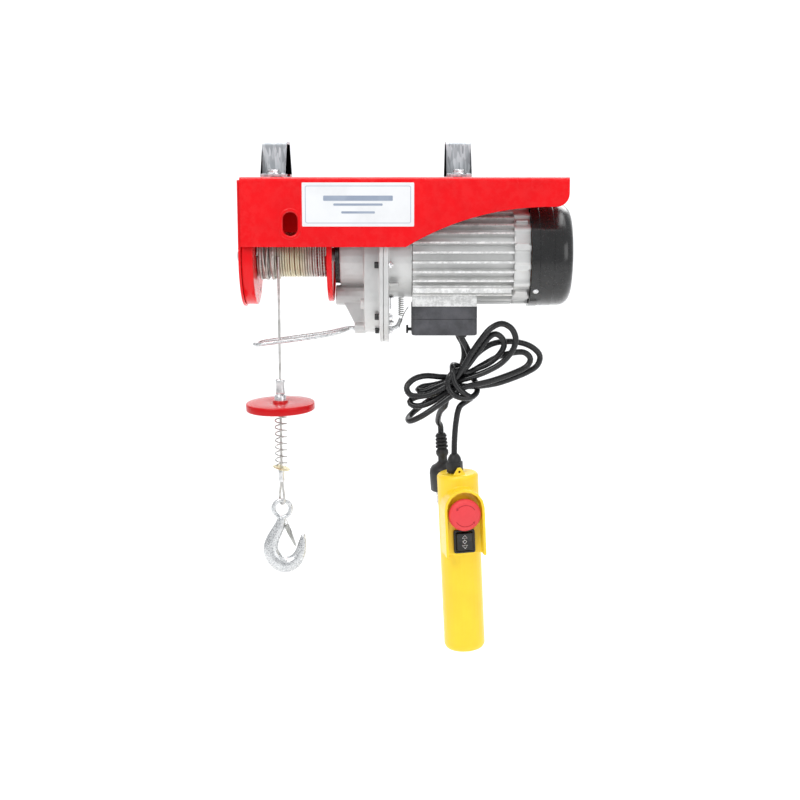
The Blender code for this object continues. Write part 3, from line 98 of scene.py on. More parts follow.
def group(name, inputs, outputs):
    """An empty shader group with the sockets named, and its input and output nodes."""
    made = bpy.data.node_groups.new(name, "ShaderNodeTree")
    for label, kind, value in inputs:
        socket = made.interface.new_socket(label, in_out="INPUT", socket_type=kind)
        if value is not None:
            socket.default_value = value
    for label, kind in outputs:
        made.interface.new_socket(label, in_out="OUTPUT", socket_type=kind)
    return made, made.nodes.new("NodeGroupInput"), made.nodes.new("NodeGroupOutput")


def noise(tree, vector, scale, detail=3.0, rough=0.5):
    node = tree.nodes.new("ShaderNodeTexNoise")
    node.inputs["Detail"].default_value = detail
    node.inputs["Roughness"].default_value = rough
    tree.links.new(vector, node.inputs["Vector"])
    if isinstance(scale, (int, float)):
        node.inputs["Scale"].default_value = scale
    else:
        tree.links.new(scale, node.inputs["Scale"])
    return node.outputs["Fac"]


def ramp(tree, value, low_in, high_in, low_out=0.0, high_out=1.0):
    node = tree.nodes.new("ShaderNodeMapRange")
    node.interpolation_type = "SMOOTHSTEP"
    for label, number in (
        ("From Min", low_in), ("From Max", high_in), ("To Min", low_out), ("To Max", high_out),
    ):
        node.inputs[label].default_value = number
    tree.links.new(value, node.inputs["Value"])
    return node.outputs["Result"]


def math_node(tree, operation, first, second):
    node = tree.nodes.new("ShaderNodeMath")
    node.operation = operation
    for socket, value in zip(node.inputs, (first, second)):
        if isinstance(value, (int, float)):
            socket.default_value = value
        else:
            tree.links.new(value, socket)
    return node.outputs["Value"]


def mix_colour(tree, share, first, second, blend="MIX"):
    node = tree.nodes.new("ShaderNodeMix")
    node.data_type = "RGBA"
    node.blend_type = blend
    colours = [s for s in node.inputs if s.type == "RGBA"]
    factor = next(s for s in node.inputs if s.name == "Factor" and s.type == "VALUE")
    for socket, value in ((factor, share), (colours[0], first), (colours[1], second)):
        if isinstance(value, (int, float)):
            socket.default_value = value
        elif isinstance(value, (tuple, list)):
            socket.default_value = (*value[:3], 1)
        else:
            tree.links.new(value, socket)
    return next(s for s in node.outputs if s.type == "RGBA")


def tone_group():
    """Broad drift between two colours, as paint, castings and mouldings have."""
    tree, given, out = group(
        "uneven_tone",
        [("Vector", "NodeSocketVector", None), ("Main", "NodeSocketColor", None),
         ("Other", "NodeSocketColor", None), ("Scale", "NodeSocketFloat", 20.0)],
        [("Colour", "NodeSocketColor"), ("Share", "NodeSocketFloat")],
    )
    share = ramp(tree, noise(tree, given.outputs["Vector"], given.outputs["Scale"], 4.0, 0.6), 0.35, 0.68)
    colour = mix_colour(tree, share, given.outputs["Main"], given.outputs["Other"])
    tree.links.new(colour, out.inputs["Colour"])
    tree.links.new(share, out.inputs["Share"])
    return tree


def grain_group():
    """Fine pitting or moulded grain: a height and a tone."""
    tree, given, out = group(
        "fine_grain",
        [("Vector", "NodeSocketVector", None), ("Scale", "NodeSocketFloat", 900.0)],
        [("Height", "NodeSocketFloat"), ("Tone", "NodeSocketFloat")],
    )
    fine = noise(tree, given.outputs["Vector"], given.outputs["Scale"], 4.0, 0.65)
    tree.links.new(ramp(tree, fine, 0.3, 0.7), out.inputs["Height"])
    tree.links.new(ramp(tree, fine, 0.25, 0.75), out.inputs["Tone"])
    return tree


def edge_wear_and_highlight_group():
    """Pale edges, broken up by noise: partly rubbed wear, partly a painted highlight on every convex edge."""
    tree, given, out = group(
        "rubbed_and_highlit_edges",
        [("Vector", "NodeSocketVector", None), ("Scale", "NodeSocketFloat", 60.0)],
        [("Mask", "NodeSocketFloat")],
    )
    geometry = tree.nodes.new("ShaderNodeNewGeometry")
    # Pointiness picks out every convex edge: the brightening is partly wear and partly a painted highlight.
    edge = ramp(tree, geometry.outputs["Pointiness"], 0.52, 0.62)
    spots = ramp(tree, noise(tree, given.outputs["Vector"], given.outputs["Scale"], 5.0, 0.7), 0.4, 0.62)
    tree.links.new(math_node(tree, "MULTIPLY", edge, spots), out.inputs["Mask"])
    return tree


def spangle_group():
    """Crystals of a zinc coat: a tone for each cell, with streaks along one direction."""
    tree, given, out = group(
        "zinc_spangle",
        [("Vector", "NodeSocketVector", None), ("Scale", "NodeSocketFloat", 300.0)],
        [("Tone", "NodeSocketFloat"), ("Height", "NodeSocketFloat")],
    )
    cells = tree.nodes.new("ShaderNodeTexVoronoi")
    tree.links.new(given.outputs["Vector"], cells.inputs["Vector"])
    tree.links.new(given.outputs["Scale"], cells.inputs["Scale"])
    split = tree.nodes.new("ShaderNodeSeparateColor")
    tree.links.new(cells.outputs["Color"], split.inputs["Color"])
    fine = noise(tree, given.outputs["Vector"], given.outputs["Scale"], 4.0, 0.7)
    tone = math_node(tree, "ADD", math_node(tree, "MULTIPLY", split.outputs["Red"], 0.55),
                     math_node(tree, "MULTIPLY", fine, 0.45))
    tree.links.new(tone, out.inputs["Tone"])
    tree.links.new(fine, out.inputs["Height"])
    return tree


GROUPS = {
    "tone": tone_group(),
    "grain": grain_group(),
    "edge_wear_and_highlight": edge_wear_and_highlight_group(),
    "spangle": spangle_group(),
}


class Finish:
    """One material under construction: its shader, its coordinates and the groups placed in it."""

    def __init__(self, name, roughness, metallic=0.0, coat=0.0, coat_roughness=0.1, stretch=None,
                 specular=0.5):
        self.made = bpy.data.materials.new(name)
        self.made.use_nodes = True
        self.tree = self.made.node_tree
        self.shader = self.tree.nodes["Principled BSDF"]
        self.shader.inputs["Roughness"].default_value = roughness
        self.shader.inputs["Metallic"].default_value = metallic
        self.shader.inputs["Specular IOR Level"].default_value = specular
        self.shader.inputs["Coat Weight"].default_value = coat
        self.shader.inputs["Coat Roughness"].default_value = coat_roughness
        coords = self.tree.nodes.new("ShaderNodeTexCoord")
        self.vector = coords.outputs["Object"]
        if stretch:
            mapping = self.tree.nodes.new("ShaderNodeMapping")
            mapping.inputs["Scale"].default_value = stretch
            self.tree.links.new(self.vector, mapping.inputs["Vector"])
            self.vector = mapping.outputs["Vector"]
        self.heights = []

    def use(self, kind, **values):
        node = self.tree.nodes.new("ShaderNodeGroup")
        node.node_tree = GROUPS[kind]
        self.tree.links.new(self.vector, node.inputs["Vector"])
        for label, value in values.items():
            value = (*value, 1) if isinstance(value, tuple) else value
            node.inputs[label.capitalize()].default_value = value
        return node.outputs

    def colour(self, socket):
        self.tree.links.new(socket, self.shader.inputs["Base Color"])

    def roughness(self, socket, least, most):
        self.tree.links.new(ramp(self.tree, socket, 0.0, 1.0, least, most), self.shader.inputs["Roughness"])

    def bump(self, height, strength, distance):
        node = self.tree.nodes.new("ShaderNodeBump")
        node.inputs["Strength"].default_value = strength
        node.inputs["Distance"].default_value = distance
        self.tree.links.new(height, node.inputs["Height"])
        if self.heights:
            self.tree.links.new(self.heights[-1], node.inputs["Normal"])
        self.heights.append(node.outputs["Normal"])
        self.tree.links.new(node.outputs["Normal"], self.shader.inputs["Normal"])

    def done(self):
        return self.made


def enamel(name, main, other, roughness=0.2):
    """Glossy sprayed enamel with a faint orange peel and paler pink edges, partly rubbed wear and partly a painted
    highlight.
    """
    finish = Finish(name, roughness, coat=0.12, coat_roughness=0.08, specular=0.22)
    tone = finish.use("tone", main=main, other=other, scale=14.0)
    edge_wear_and_highlight = finish.use("edge_wear_and_highlight", scale=90.0)
    # Paler pink on the convex edges: partly wear, partly a painted highlight.
    edge = math_node(finish.tree, "MULTIPLY", edge_wear_and_highlight["Mask"], 0.25)
    finish.colour(mix_colour(finish.tree, edge, tone["Colour"], (0.9, 0.16, 0.15)))
    finish.roughness(tone["Share"], roughness - 0.05, roughness + 0.08)
    peel = finish.use("grain", scale=260.0)
    finish.bump(peel["Height"], 0.08, 0.0004)
    return finish.done()


def zinc_coat(name, light, dark, roughness=0.32, scale=320.0, stretch=None, strength=0.12):
    """Bright zinc plate or galvanising: crystals of unlike tone, with a mottled shine."""
    finish = Finish(name, roughness, metallic=0.85, stretch=stretch)
    cells = finish.use("spangle", scale=scale)
    finish.colour(mix_colour(finish.tree, ramp(finish.tree, cells["Tone"], 0.15, 0.8), dark, light))
    finish.roughness(cells["Tone"], roughness - 0.1, roughness + 0.18)
    finish.bump(cells["Height"], strength, 0.0004)
    return finish.done()


def casting(name, main, other):
    """Die-cast aluminium: satin, finely pitted, with brighter edges, partly wear and partly painted highlight."""
    finish = Finish(name, 0.42, metallic=0.35, coat=0.15, coat_roughness=0.3)
    tone = finish.use("tone", main=main, other=other, scale=22.0)
    edge_wear_and_highlight = finish.use("edge_wear_and_highlight", scale=140.0)
    # Pale metal colour on the convex edges: partly wear, partly a painted highlight.
    finish.colour(mix_colour(finish.tree, edge_wear_and_highlight["Mask"], tone["Colour"], (0.86, 0.86, 0.85)))
    grain = finish.use("grain", scale=1100.0)
    finish.roughness(grain["Tone"], 0.34, 0.55)
    finish.bump(grain["Height"], 0.22, 0.0003)
    return finish.done()


def moulding(name, main, other, roughness, grain_scale=700.0, grain_depth=0.1, coat=0.0, worn_and_highlit_edge=None,
             specular=0.35):
    """Moulded plastic or a cable's sheath."""
    finish = Finish(name, roughness, coat=coat, coat_roughness=0.15, specular=specular)
    tone = finish.use("tone", main=main, other=other, scale=26.0)
    colour = tone["Colour"]
    if worn_and_highlit_edge:
        # The paler edge colour is partly wear and partly a painted highlight.
        edge_wear_and_highlight = finish.use("edge_wear_and_highlight", scale=160.0)
        colour = mix_colour(finish.tree, math_node(finish.tree, "MULTIPLY", edge_wear_and_highlight["Mask"], 0.5), colour,
                            worn_and_highlit_edge)
    finish.colour(colour)
    grain = finish.use("grain", scale=grain_scale)
    finish.roughness(grain["Tone"], roughness - 0.06, roughness + 0.09)
    finish.bump(grain["Height"], grain_depth, 0.0003)
    return finish.done()


def rope_wire():
    """Galvanised strands, warm with grease at the middle of the drum; the crests paler than between the turns,
    partly wear and partly a painted highlight.
    """
    finish = Finish("rope_wire", 0.4, metallic=0.7)
    tone = finish.use("tone", main=(0.55, 0.53, 0.49), other=(0.36, 0.34, 0.31), scale=90.0)
    split = finish.tree.nodes.new("ShaderNodeSeparateXYZ")
    finish.tree.links.new(finish.vector, split.inputs["Vector"])
    centre = middle("rope_winding").x
    offset = math_node(finish.tree, "ABSOLUTE",
                       math_node(finish.tree, "SUBTRACT", split.outputs["X"], centre), 0)
    greasy = ramp(finish.tree, offset, 0.004, 0.026, 0.75, 0.0)
    above = ramp(finish.tree, split.outputs["Z"], AXIS.z - 0.06, AXIS.z - 0.04, 0.0, 1.0)
    greasy = math_node(finish.tree, "MULTIPLY", greasy, above)
    warm = mix_colour(finish.tree, greasy, tone["Colour"], (0.62, 0.57, 0.36))
    edge_wear_and_highlight = finish.use("edge_wear_and_highlight", scale=500.0)
    # Pale crests: partly wear, partly a painted highlight.
    finish.colour(mix_colour(finish.tree, edge_wear_and_highlight["Mask"], warm, (0.8, 0.79, 0.76)))
    grain = finish.use("grain", scale=1600.0)
    finish.roughness(grain["Tone"], 0.28, 0.5)
    finish.bump(grain["Height"], 0.15, 0.0002)
    return finish.done()


def machined(name, main, other, roughness=0.3, stretch=(1, 1, 1)):
    """Bare turned or drawn metal with fine marks."""
    finish = Finish(name, roughness, metallic=0.95, stretch=stretch)
    tone = finish.use("tone", main=main, other=other, scale=120.0)
    finish.colour(tone["Colour"])
    grain = finish.use("grain", scale=1400.0)
    finish.roughness(grain["Tone"], roughness - 0.08, roughness + 0.12)
    finish.bump(grain["Height"], 0.1, 0.0002)
    return finish.done()


FINISHES = {}


def shade(colour, share):
    return tuple(channel * share for channel in colour[:3])


def build_finishes(colours):
    """Every material, made from the colours in the settings."""
    FINISHES.update({
        "red": enamel("red_enamel", tuple(colours.paint), shade(colours.paint, 0.9)),
        "red_gloss": enamel("red_enamel_gloss", shade(colours.paint, 0.78), shade(colours.paint, 0.66),
                            0.14),
        "galvanised": zinc_coat("galvanised_sheet", (0.6, 0.62, 0.64), (0.36, 0.38, 0.4), 0.46, 420.0,
                                (1, 1, 0.22)),
        "forged": zinc_coat("zinc_plate", (0.78, 0.79, 0.79), (0.46, 0.47, 0.48), 0.3, 900.0, strength=0.3),
        "bolt": zinc_coat("bolt_zinc", (0.88, 0.88, 0.88), (0.6, 0.6, 0.62), 0.26, 500.0),
        "yellow_zinc": zinc_coat("yellow_zinc", (0.86, 0.8, 0.55), (0.6, 0.52, 0.3), 0.3, 500.0),
        "steel": machined("machined_steel", (0.5, 0.5, 0.5), (0.36, 0.36, 0.37)),
        "spring": machined("spring_steel", (0.5, 0.5, 0.48), (0.3, 0.3, 0.28), 0.28),
        "aluminium": machined("crimped_aluminium", (0.84, 0.84, 0.84), (0.62, 0.62, 0.62), 0.28),
        "bronze": machined("bush_bronze", (0.62, 0.42, 0.2), (0.42, 0.28, 0.14), 0.4),
        "copper": machined("copper_winding", (0.62, 0.28, 0.12), (0.4, 0.17, 0.08), 0.4),
        "rope": rope_wire(),
        "rope_bright": machined("bright_rope", (0.72, 0.71, 0.69), (0.5, 0.49, 0.47), 0.34),
        "cast": casting("cast_aluminium", tuple(colours.casting), shade(colours.casting, 0.85)),
        "black_gloss": moulding("black_gloss", (0.012, 0.012, 0.012), (0.02, 0.02, 0.02), 0.2, 240.0, 0.05,
                                0.3),
        "black": moulding("black_plastic", (0.02, 0.02, 0.02), (0.035, 0.035, 0.035), 0.42, 900.0, 0.15),
        "box": moulding("grained_black", (0.05, 0.05, 0.055), (0.09, 0.09, 0.1), 0.62, 620.0, 0.6,
                        worn_and_highlit_edge=(0.2, 0.2, 0.2)),
        "sheath": moulding("cable_sheath", (0.008, 0.008, 0.009), (0.014, 0.014, 0.014), 0.26, 500.0, 0.08,
                           0.2),
        "yellow": moulding("yellow_moulding", tuple(colours.pendant), shade(colours.pendant, 0.93), 0.34,
                           500.0, 0.1, 0.25,
                           worn_and_highlit_edge=(0.98, 0.78, 0.3)),
        "red_plastic": moulding("red_moulding", (0.8, 0.06, 0.07), (0.74, 0.05, 0.06), 0.5, 800.0, 0.15,
                                worn_and_highlit_edge=(0.9, 0.3, 0.3)),
        "sticker": moulding("label_film", (0.8, 0.81, 0.82), (0.74, 0.75, 0.76), 0.38, 120.0, 0.05, 0.2),
        "print": moulding("label_print", (0.28, 0.33, 0.42), (0.34, 0.39, 0.48), 0.45, 300.0, 0.03),
        "white": moulding("white_print", (0.85, 0.85, 0.85), (0.75, 0.75, 0.75), 0.5, 300.0, 0.03),
        "red_arrow": moulding("arrow_print", (0.5, 0.02, 0.03), (0.45, 0.02, 0.03), 0.5, 300.0, 0.03),
    })


# Shapes


def sizes():
    return bpy.context.scene.hoist_sizes


def welded(bm):
    bmesh.ops.remove_doubles(bm, verts=bm.verts, dist=0.00002)
    bmesh.ops.recalc_face_normals(bm, faces=bm.faces)
    return bm


def laid(axis, origin=Vector()):
    """The matrix that lays a shape's own +Z along +X, towards the front or along +Z, through the origin."""
    turns = {
        "x": Matrix(((0, 0, 1), (1, 0, 0), (0, 1, 0))),
        "front": Matrix(((1, 0, 0), (0, 0, -1), (0, 1, 0))),
        "z": Matrix.Identity(3),
    }
    return Matrix.Translation(origin) @ turns[axis].to_4x4()


def lathe(profile, axis="z", origin=Vector(), steps=96, place=None, turn=2 * pi):
    """A profile of (radius, height) points spun round its axis, which it may start or end on."""
    bm = bmesh.new()
    verts = [bm.verts.new((radius, 0, height)) for radius, height in profile]
    edges = [bm.edges.new(pair) for pair in zip(verts, verts[1:])]
    bmesh.ops.spin(bm, geom=verts + edges, cent=(0, 0, 0), axis=(0, 0, 1), angle=turn, steps=steps,
                   use_merge=turn == 2 * pi, use_duplicate=False)
    bmesh.ops.transform(bm, matrix=place or laid(axis, origin), verts=bm.verts)
    return welded(bm)


def ring(profile, axis="z", origin=Vector(), steps=96, place=None):
    """A closed profile spun all the way round."""
    return lathe(list(profile) + [profile[0]], axis, origin, steps, place)


def eased(outline, radius, steps=4):
    """The closed outline with each corner turned into an arc; radius is one number or one for each corner."""
    points = [Vector(point) for point in outline]
    radii = radius if isinstance(radius, (list, tuple)) else [radius] * len(points)
    made = []
    for k, corner in enumerate(points):
        before, after = points[k - 1], points[(k + 1) % len(points)]
        into, away = (before - corner).normalized(), (after - corner).normalized()
        angle = into.angle(away)
        if radii[k] <= 0 or angle > radians(175):
            made.append(corner)
            continue
        back = min(radii[k] / tan(angle / 2), 0.48 * (before - corner).length,
                   0.48 * (after - corner).length)
        size = back * tan(angle / 2)
        centre = corner + (into + away).normalized() * (size / sin(angle / 2))
        start, end = corner + into * back - centre, corner + away * back - centre
        sweep = start.angle_signed(end)
        for j in range(steps + 1):
            turn = -sweep * j / steps
            made.append(centre + Vector((start.x * cos(turn) - start.y * sin(turn),
                                         start.x * sin(turn) + start.y * cos(turn))))
    return made


def prism(outline, axis, start, end, origin=Vector(), place=None):
    """A flat outline made a face and extruded from start to end."""
    bm = bmesh.new()
    face = bm.faces.new([bm.verts.new((u, v, start)) for u, v in outline])
    grown = bmesh.ops.extrude_face_region(bm, geom=[face])
    moved = [item for item in grown["geom"] if isinstance(item, bmesh.types.BMVert)]
    bmesh.ops.translate(bm, vec=(0, 0, end - start), verts=moved)
    if face.is_valid and not any(f for e in face.edges for f in e.link_faces if f is not face):
        bm.faces.remove(face)
    bmesh.ops.transform(bm, matrix=place or laid(axis, origin), verts=bm.verts)
    return welded(bm)


def cuboid(low_corner, high_corner, place=None):
    bm = bmesh.new()
    low_corner, high_corner = Vector(low_corner), Vector(high_corner)
    size = Matrix.Diagonal((*(high_corner - low_corner), 1))
    bmesh.ops.create_cube(bm, size=1, matrix=Matrix.Translation((low_corner + high_corner) / 2) @ size)
    if place:
        bmesh.ops.transform(bm, matrix=place, verts=bm.verts)
    return bm


def soften(bm, width, segments=2, angle=35):
    """Bevels the edges sharper than an angle."""
    sharp = [edge for edge in bm.edges
             if len(edge.link_faces) == 2 and edge.calc_face_angle(0) > radians(angle)]
    bmesh.ops.bevel(bm, geom=sharp, offset=width, offset_type="OFFSET", affect="EDGES", segments=segments,
                    profile=0.5, material=-1, clamp_overlap=True)
    return bm


def hexagon(across, turn=0.0):
    radius = across / sqrt(3)
    return [(radius * cos(turn + k * pi / 3), radius * sin(turn + k * pi / 3)) for k in range(6)]


def oval(half_width, half_height, steps=16):
    """A slot outline, taller than it is wide, round at both ends."""
    reach = half_height - half_width
    points = []
    for k in range(2 * steps):
        turn = pi * (k + 0.5) / steps
        points.append((half_width * cos(turn), half_width * sin(turn) + (reach if turn < pi else -reach)))
    return points


def merged(*shapes):
    """Several bmeshes as one, their overlaps kept."""
    total = shapes[0]
    for shape in shapes[1:]:
        mesh = bpy.data.meshes.new("joined")
        shape.to_mesh(mesh)
        shape.free()
        total.from_mesh(mesh)
        bpy.data.meshes.remove(mesh)
    return total


def node_shape(node):
    """A welded copy of a CAD node's mesh."""
    bm = bmesh.new()
    bm.from_mesh(frame["nodes"][node].data)
    bmesh.ops.remove_doubles(bm, verts=bm.verts, dist=0.00001)
    flat = radians(0.6)
    bmesh.ops.dissolve_limit(bm, angle_limit=flat, verts=bm.verts, edges=bm.edges)
    return bm


def smooth_route(points, spacing):
    """Points at an even spacing on the smooth curve through the given ones."""
    points = [Vector(point) for point in points]
    ends = [2 * points[0] - points[1]] + points + [2 * points[-1] - points[-2]]
    fine = []
    for before, start, end, after in zip(ends, ends[1:], ends[2:], ends[3:]):
        for k in range(24):
            t = k / 24
            fine.append(0.5 * (2 * start + (end - before) * t
                               + (2 * before - 5 * start + 4 * end - after) * t * t
                               + (3 * start - before - 3 * end + after) * t**3))
    fine.append(points[-1])
    length = sum((b - a).length for a, b in zip(fine, fine[1:]))
    count = max(2, round(length / spacing))
    step, walked, route = length / count, 0.0, [fine[0]]
    for a, b in zip(fine, fine[1:]):
        stretch = (b - a).length
        while walked + stretch >= step * len(route) and len(route) < count:
            route.append(a.lerp(b, (step * len(route) - walked) / stretch))
        walked += stretch
    return route + [fine[-1]]


def route_length(points):
    return sum((b - a).length for a, b in zip(points, points[1:]))


def evaluated_shape(obj):
    """The helper object's evaluated mesh as a welded bmesh; the helper is removed."""
    bpy.context.scene.collection.objects.link(obj)
    bpy.context.view_layer.update()
    mesh = bpy.data.meshes.new_from_object(obj.evaluated_get(bpy.context.evaluated_depsgraph_get()))
    bm = bmesh.new()
    bm.from_mesh(mesh)
    bpy.data.objects.remove(obj, do_unlink=True)
    bpy.data.meshes.remove(mesh)
    return welded(bm)


def tube(points, radius, resolution=4, radii=None, closed=False):
    """A round bar along a route."""
    curve = bpy.data.curves.new("bar", "CURVE")
    curve.dimensions = "3D"
    curve.bevel_depth = radius
    curve.bevel_resolution = resolution
    curve.use_fill_caps = True
    spline = curve.splines.new("POLY")
    spline.points.add(len(points) - 1)
    for k, (point, co) in enumerate(zip(spline.points, points)):
        point.co = (*co, 1)
        point.radius = radii[k] if radii else 1
    spline.use_cyclic_u = closed
    return evaluated_shape(bpy.data.objects.new("bar", curve))


def laid_rope(points, radius, lay, fine=3):
    """Wire rope along a route: a lobed section that turns as it goes."""
    strands = sizes().strands
    outline = bpy.data.curves.new("strands", "CURVE")
    outline.dimensions = "2D"
    spline = outline.splines.new("POLY")
    count = strands * fine
    spline.points.add(count - 1)
    for k, point in enumerate(spline.points):
        turn = 2 * pi * k / count
        size = radius * (0.8 + 0.2 * abs(cos(strands * turn / 2)))
        point.co = (size * cos(turn), size * sin(turn), 0, 1)
    spline.use_cyclic_u = True
    section = bpy.data.objects.new("strands", outline)
    bpy.context.scene.collection.objects.link(section)
    curve = bpy.data.curves.new("rope", "CURVE")
    curve.dimensions = "3D"
    curve.bevel_mode = "OBJECT"
    curve.bevel_object = section
    curve.use_fill_caps = True
    spline = curve.splines.new("POLY")
    spline.points.add(len(points) - 1)
    walked = 0.0
    for k, (point, co) in enumerate(zip(spline.points, points)):
        walked += (Vector(co) - Vector(points[k - 1])).length if k else 0.0
        point.co = (*co, 1)
        point.tilt = 2 * pi * walked / lay
    bm = evaluated_shape(bpy.data.objects.new("rope", curve))
    bpy.data.objects.remove(section, do_unlink=True)
    return bm


def helix(centre, radius, top, bottom, turns, steps=24, start=0.0):
    count = round(turns * steps)
    return [Vector((centre.x + radius * cos(start + 2 * pi * k / steps),
                    centre.y + radius * sin(start + 2 * pi * k / steps),
                    top + (bottom - top) * k / count)) for k in range(count + 1)]


def add(name, bm, finish, body, smooth=38, replaces=()):
    """A finished piece: meshed, coloured and riding on its body."""
    mesh = bpy.data.meshes.new(name)
    bm.to_mesh(mesh)
    bm.free()
    mesh.materials.append(FINISHES[finish])
    mesh.shade_smooth()
    if smooth:
        mesh.set_sharp_from_angle(angle=radians(smooth))
    obj = bpy.data.objects.new(name, mesh)
    bpy.context.scene.collection.objects.link(obj)
    if body:
        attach(obj, body)
    if replaces:
        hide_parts(*replaces)
    return obj


def round_edges(obj, width, segments=2, angle=35):
    bevel = obj.modifiers.new("rounded edges", "BEVEL")
    bevel.width = width
    bevel.segments = segments
    bevel.limit_method = "ANGLE"
    bevel.angle_limit = radians(angle)
    bevel.harden_normals = True
    return obj


def cast_skin(bm, voxel, passes=4):
    """The shapes joined into one skin with the soft corners of a casting or forging."""
    mesh = bpy.data.meshes.new("rough")
    bm.to_mesh(mesh)
    bm.free()
    helper = bpy.data.objects.new("rough", mesh)
    remesh = helper.modifiers.new("one skin", "REMESH")
    remesh.mode = "VOXEL"
    remesh.voxel_size = voxel
    smooth = helper.modifiers.new("soft corners", "SMOOTH")
    smooth.factor = 0.5
    smooth.iterations = passes
    return evaluated_shape(helper)


def carved(bm, *cutters):
    """The shape less its cutters."""
    mesh = bpy.data.meshes.new("blank")
    bm.to_mesh(mesh)
    bm.free()
    blank = bpy.data.objects.new("blank", mesh)
    tools = []
    for cutter in cutters:
        tool = bpy.data.objects.new("tool", bpy.data.meshes.new("tool"))
        cutter.to_mesh(tool.data)
        cutter.free()
        bpy.context.scene.collection.objects.link(tool)
        change = blank.modifiers.new("cut", "BOOLEAN")
        change.operation = "DIFFERENCE"
        change.object = tool
        tools.append(tool)
    made = evaluated_shape(blank)
    for tool in tools:
        bpy.data.objects.remove(tool, do_unlink=True)
    return made


def millimetres(*points):
    return [Vector(point) * MM for point in points]


# Leads

PLUG_TOP, PLUG_END = millimetres((92, 37, -322), (97.5, 37, -396))
GLAND_TOP = PENDANT @ Vector((-3 * MM, 0, 24.3 * MM))
CONTROL_ROUTE = millimetres(
    (115, -14, -185.8), (115, -14, -193.3), (121, -13, -204.5), (125, -8, -217), (120, -3, -233),
    (107, -3, -243), (90, -4, -243), (72, -6, -241.5), (57, -10, -245), (48, -14, -254.5), (54, -18, -264),
    (73, -20, -263), (92, -20, -254), (107, -20, -243), (117, -21, -229), (127, -23, -211),
    (139.5, -24, -192.5),
    (150, -24, -180.5), (163, -23, -175), (175, -22, -181), (180.5, -21, -193), (178.5, -20, -205),
    (171.5, -19, -216), (161, -18, -226), (145, -16, -235), (128, -13, -242), (113, -11, -247),
    (96, -9, -257),
    (77, -6, -265), (60, -7, -268), (52, -10, -272.5), (55, -13, -277), (65, -15, -277.5), (80, -15, -272),
    (97, -13, -261), (111, -12, -254), (126, -11, -254), (141, -9, -253.5), (160, -5, -251),
    (180, -1, -245),
    (198, 3, -238), (210, 5, -230), (213, 6, -218), (204, 6, -208), (190, 5, -202), (172, 3, -200),
    (153, 1, -203), (137, -1, -213), (124, -3, -227), (113, -3, -240), (102, -2, -252), (88, 2, -265),
    (71, 7, -278), (57, 7, -289), (50, -3, -295.5), (53, -15, -296.5), (67, -21, -289), (86, -22, -276),
    (104, -21, -263), (118, -20, -254), (137, -16, -250), (155, -12, -246), (180, -6, -238),
    (196, -4, -230),
    (200.5, -3, -220.5), (193, -3, -213), (180, -4, -213), (160, -6, -218), (141, -8, -228),
    (124, -10, -237),
    (112, -17, -233), (102, -25, -237), (98, -25.2, -248), (103, -25.2, -260), (115, -24, -266),
    (128, -18, -266),
    (135, -8, -260), (133, 2, -250), (124, 7, -239), (112, 3, -231), (105, -10, -227.5), (104, -23, -232),
    (105, -25.2, -243), (111, -25.2, -254), (120, -23, -262), (127, -14, -268), (122, -8, -273),
    (113, -10, -280.5), (109, -9.5, -300), (107.4, -9.8, -322),
) + [GLAND_TOP]
MAINS_ROUTE = millimetres(
    (112, 12, -185.8), (112, 12, -193.3), (118, 8, -205), (119, 5, -221), (112, 3, -238), (98, 3, -249),
    (83, 3, -254), (68, 0, -256), (62, -5, -259.5), (70, -9, -260), (86, -12, -253), (103, -13, -245),
    (119, -14, -232), (134, -16, -212), (146, -16, -195), (156, -15, -188.5), (165, -13, -194.5),
    (167, -12, -204), (160.5, -11, -215.5), (148, -10, -226), (129, -8, -235), (113, -5, -247),
    (102, 0, -262),
    (97, 3, -276), (96, 4, -281), (90, 16, -291), (88, 30, -305),
) + [PLUG_TOP.lerp(PLUG_END, share) for share in (-0.135, -0.008)]


def lead(name, route, diameter, nodes):
    """A lead along its route, in place of the plain nodes; and its length."""
    curve = bpy.data.curves.new(name, "CURVE")
    curve.dimensions = "3D"
    curve.bevel_depth = diameter / 2
    curve.bevel_resolution = 5
    curve.use_fill_caps = True
    points = smooth_route(route, 3 * MM)
    spline = curve.splines.new("POLY")
    spline.points.add(len(points) - 1)
    for point, co in zip(spline.points, points):
        point.co = (*co, 1)
    spline.use_smooth = True
    curve.materials.append(FINISHES["sheath"])
    obj = bpy.data.objects.new(name, curve)
    bpy.context.scene.collection.objects.link(obj)
    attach(obj, "root")
    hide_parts(*nodes)
    return obj, route_length(points)


def build_leads():
    """Control lead and mains lead, tied in one hank under the switch box."""
    thick = sizes().lead
    control, length = lead("control_lead", CONTROL_ROUTE, thick,
                           ["control_lead_upper", "control_lead_lower", "cable_hank"])
    mains, length = lead("mains_lead", MAINS_ROUTE, thick, ["mains_lead_upper", "mains_lead_lower"])
    plug = build_plug()
    for name, start in (("control_gland", CONTROL_ROUTE[0]), ("mains_gland", MAINS_ROUTE[0])):
        at = Vector((start.x, start.y, low("switch_box_cover").z))
        collar = ring([(thick / 2 + 0.2 * MM, 0.2 * MM), (6.6 * MM, 0.2 * MM), (6.6 * MM, -1.6 * MM),
                       (5.6 * MM, -4 * MM), (thick / 2 + 0.2 * MM, -4.4 * MM)], "z", at, 40)
        add(name, collar, "black", "root")


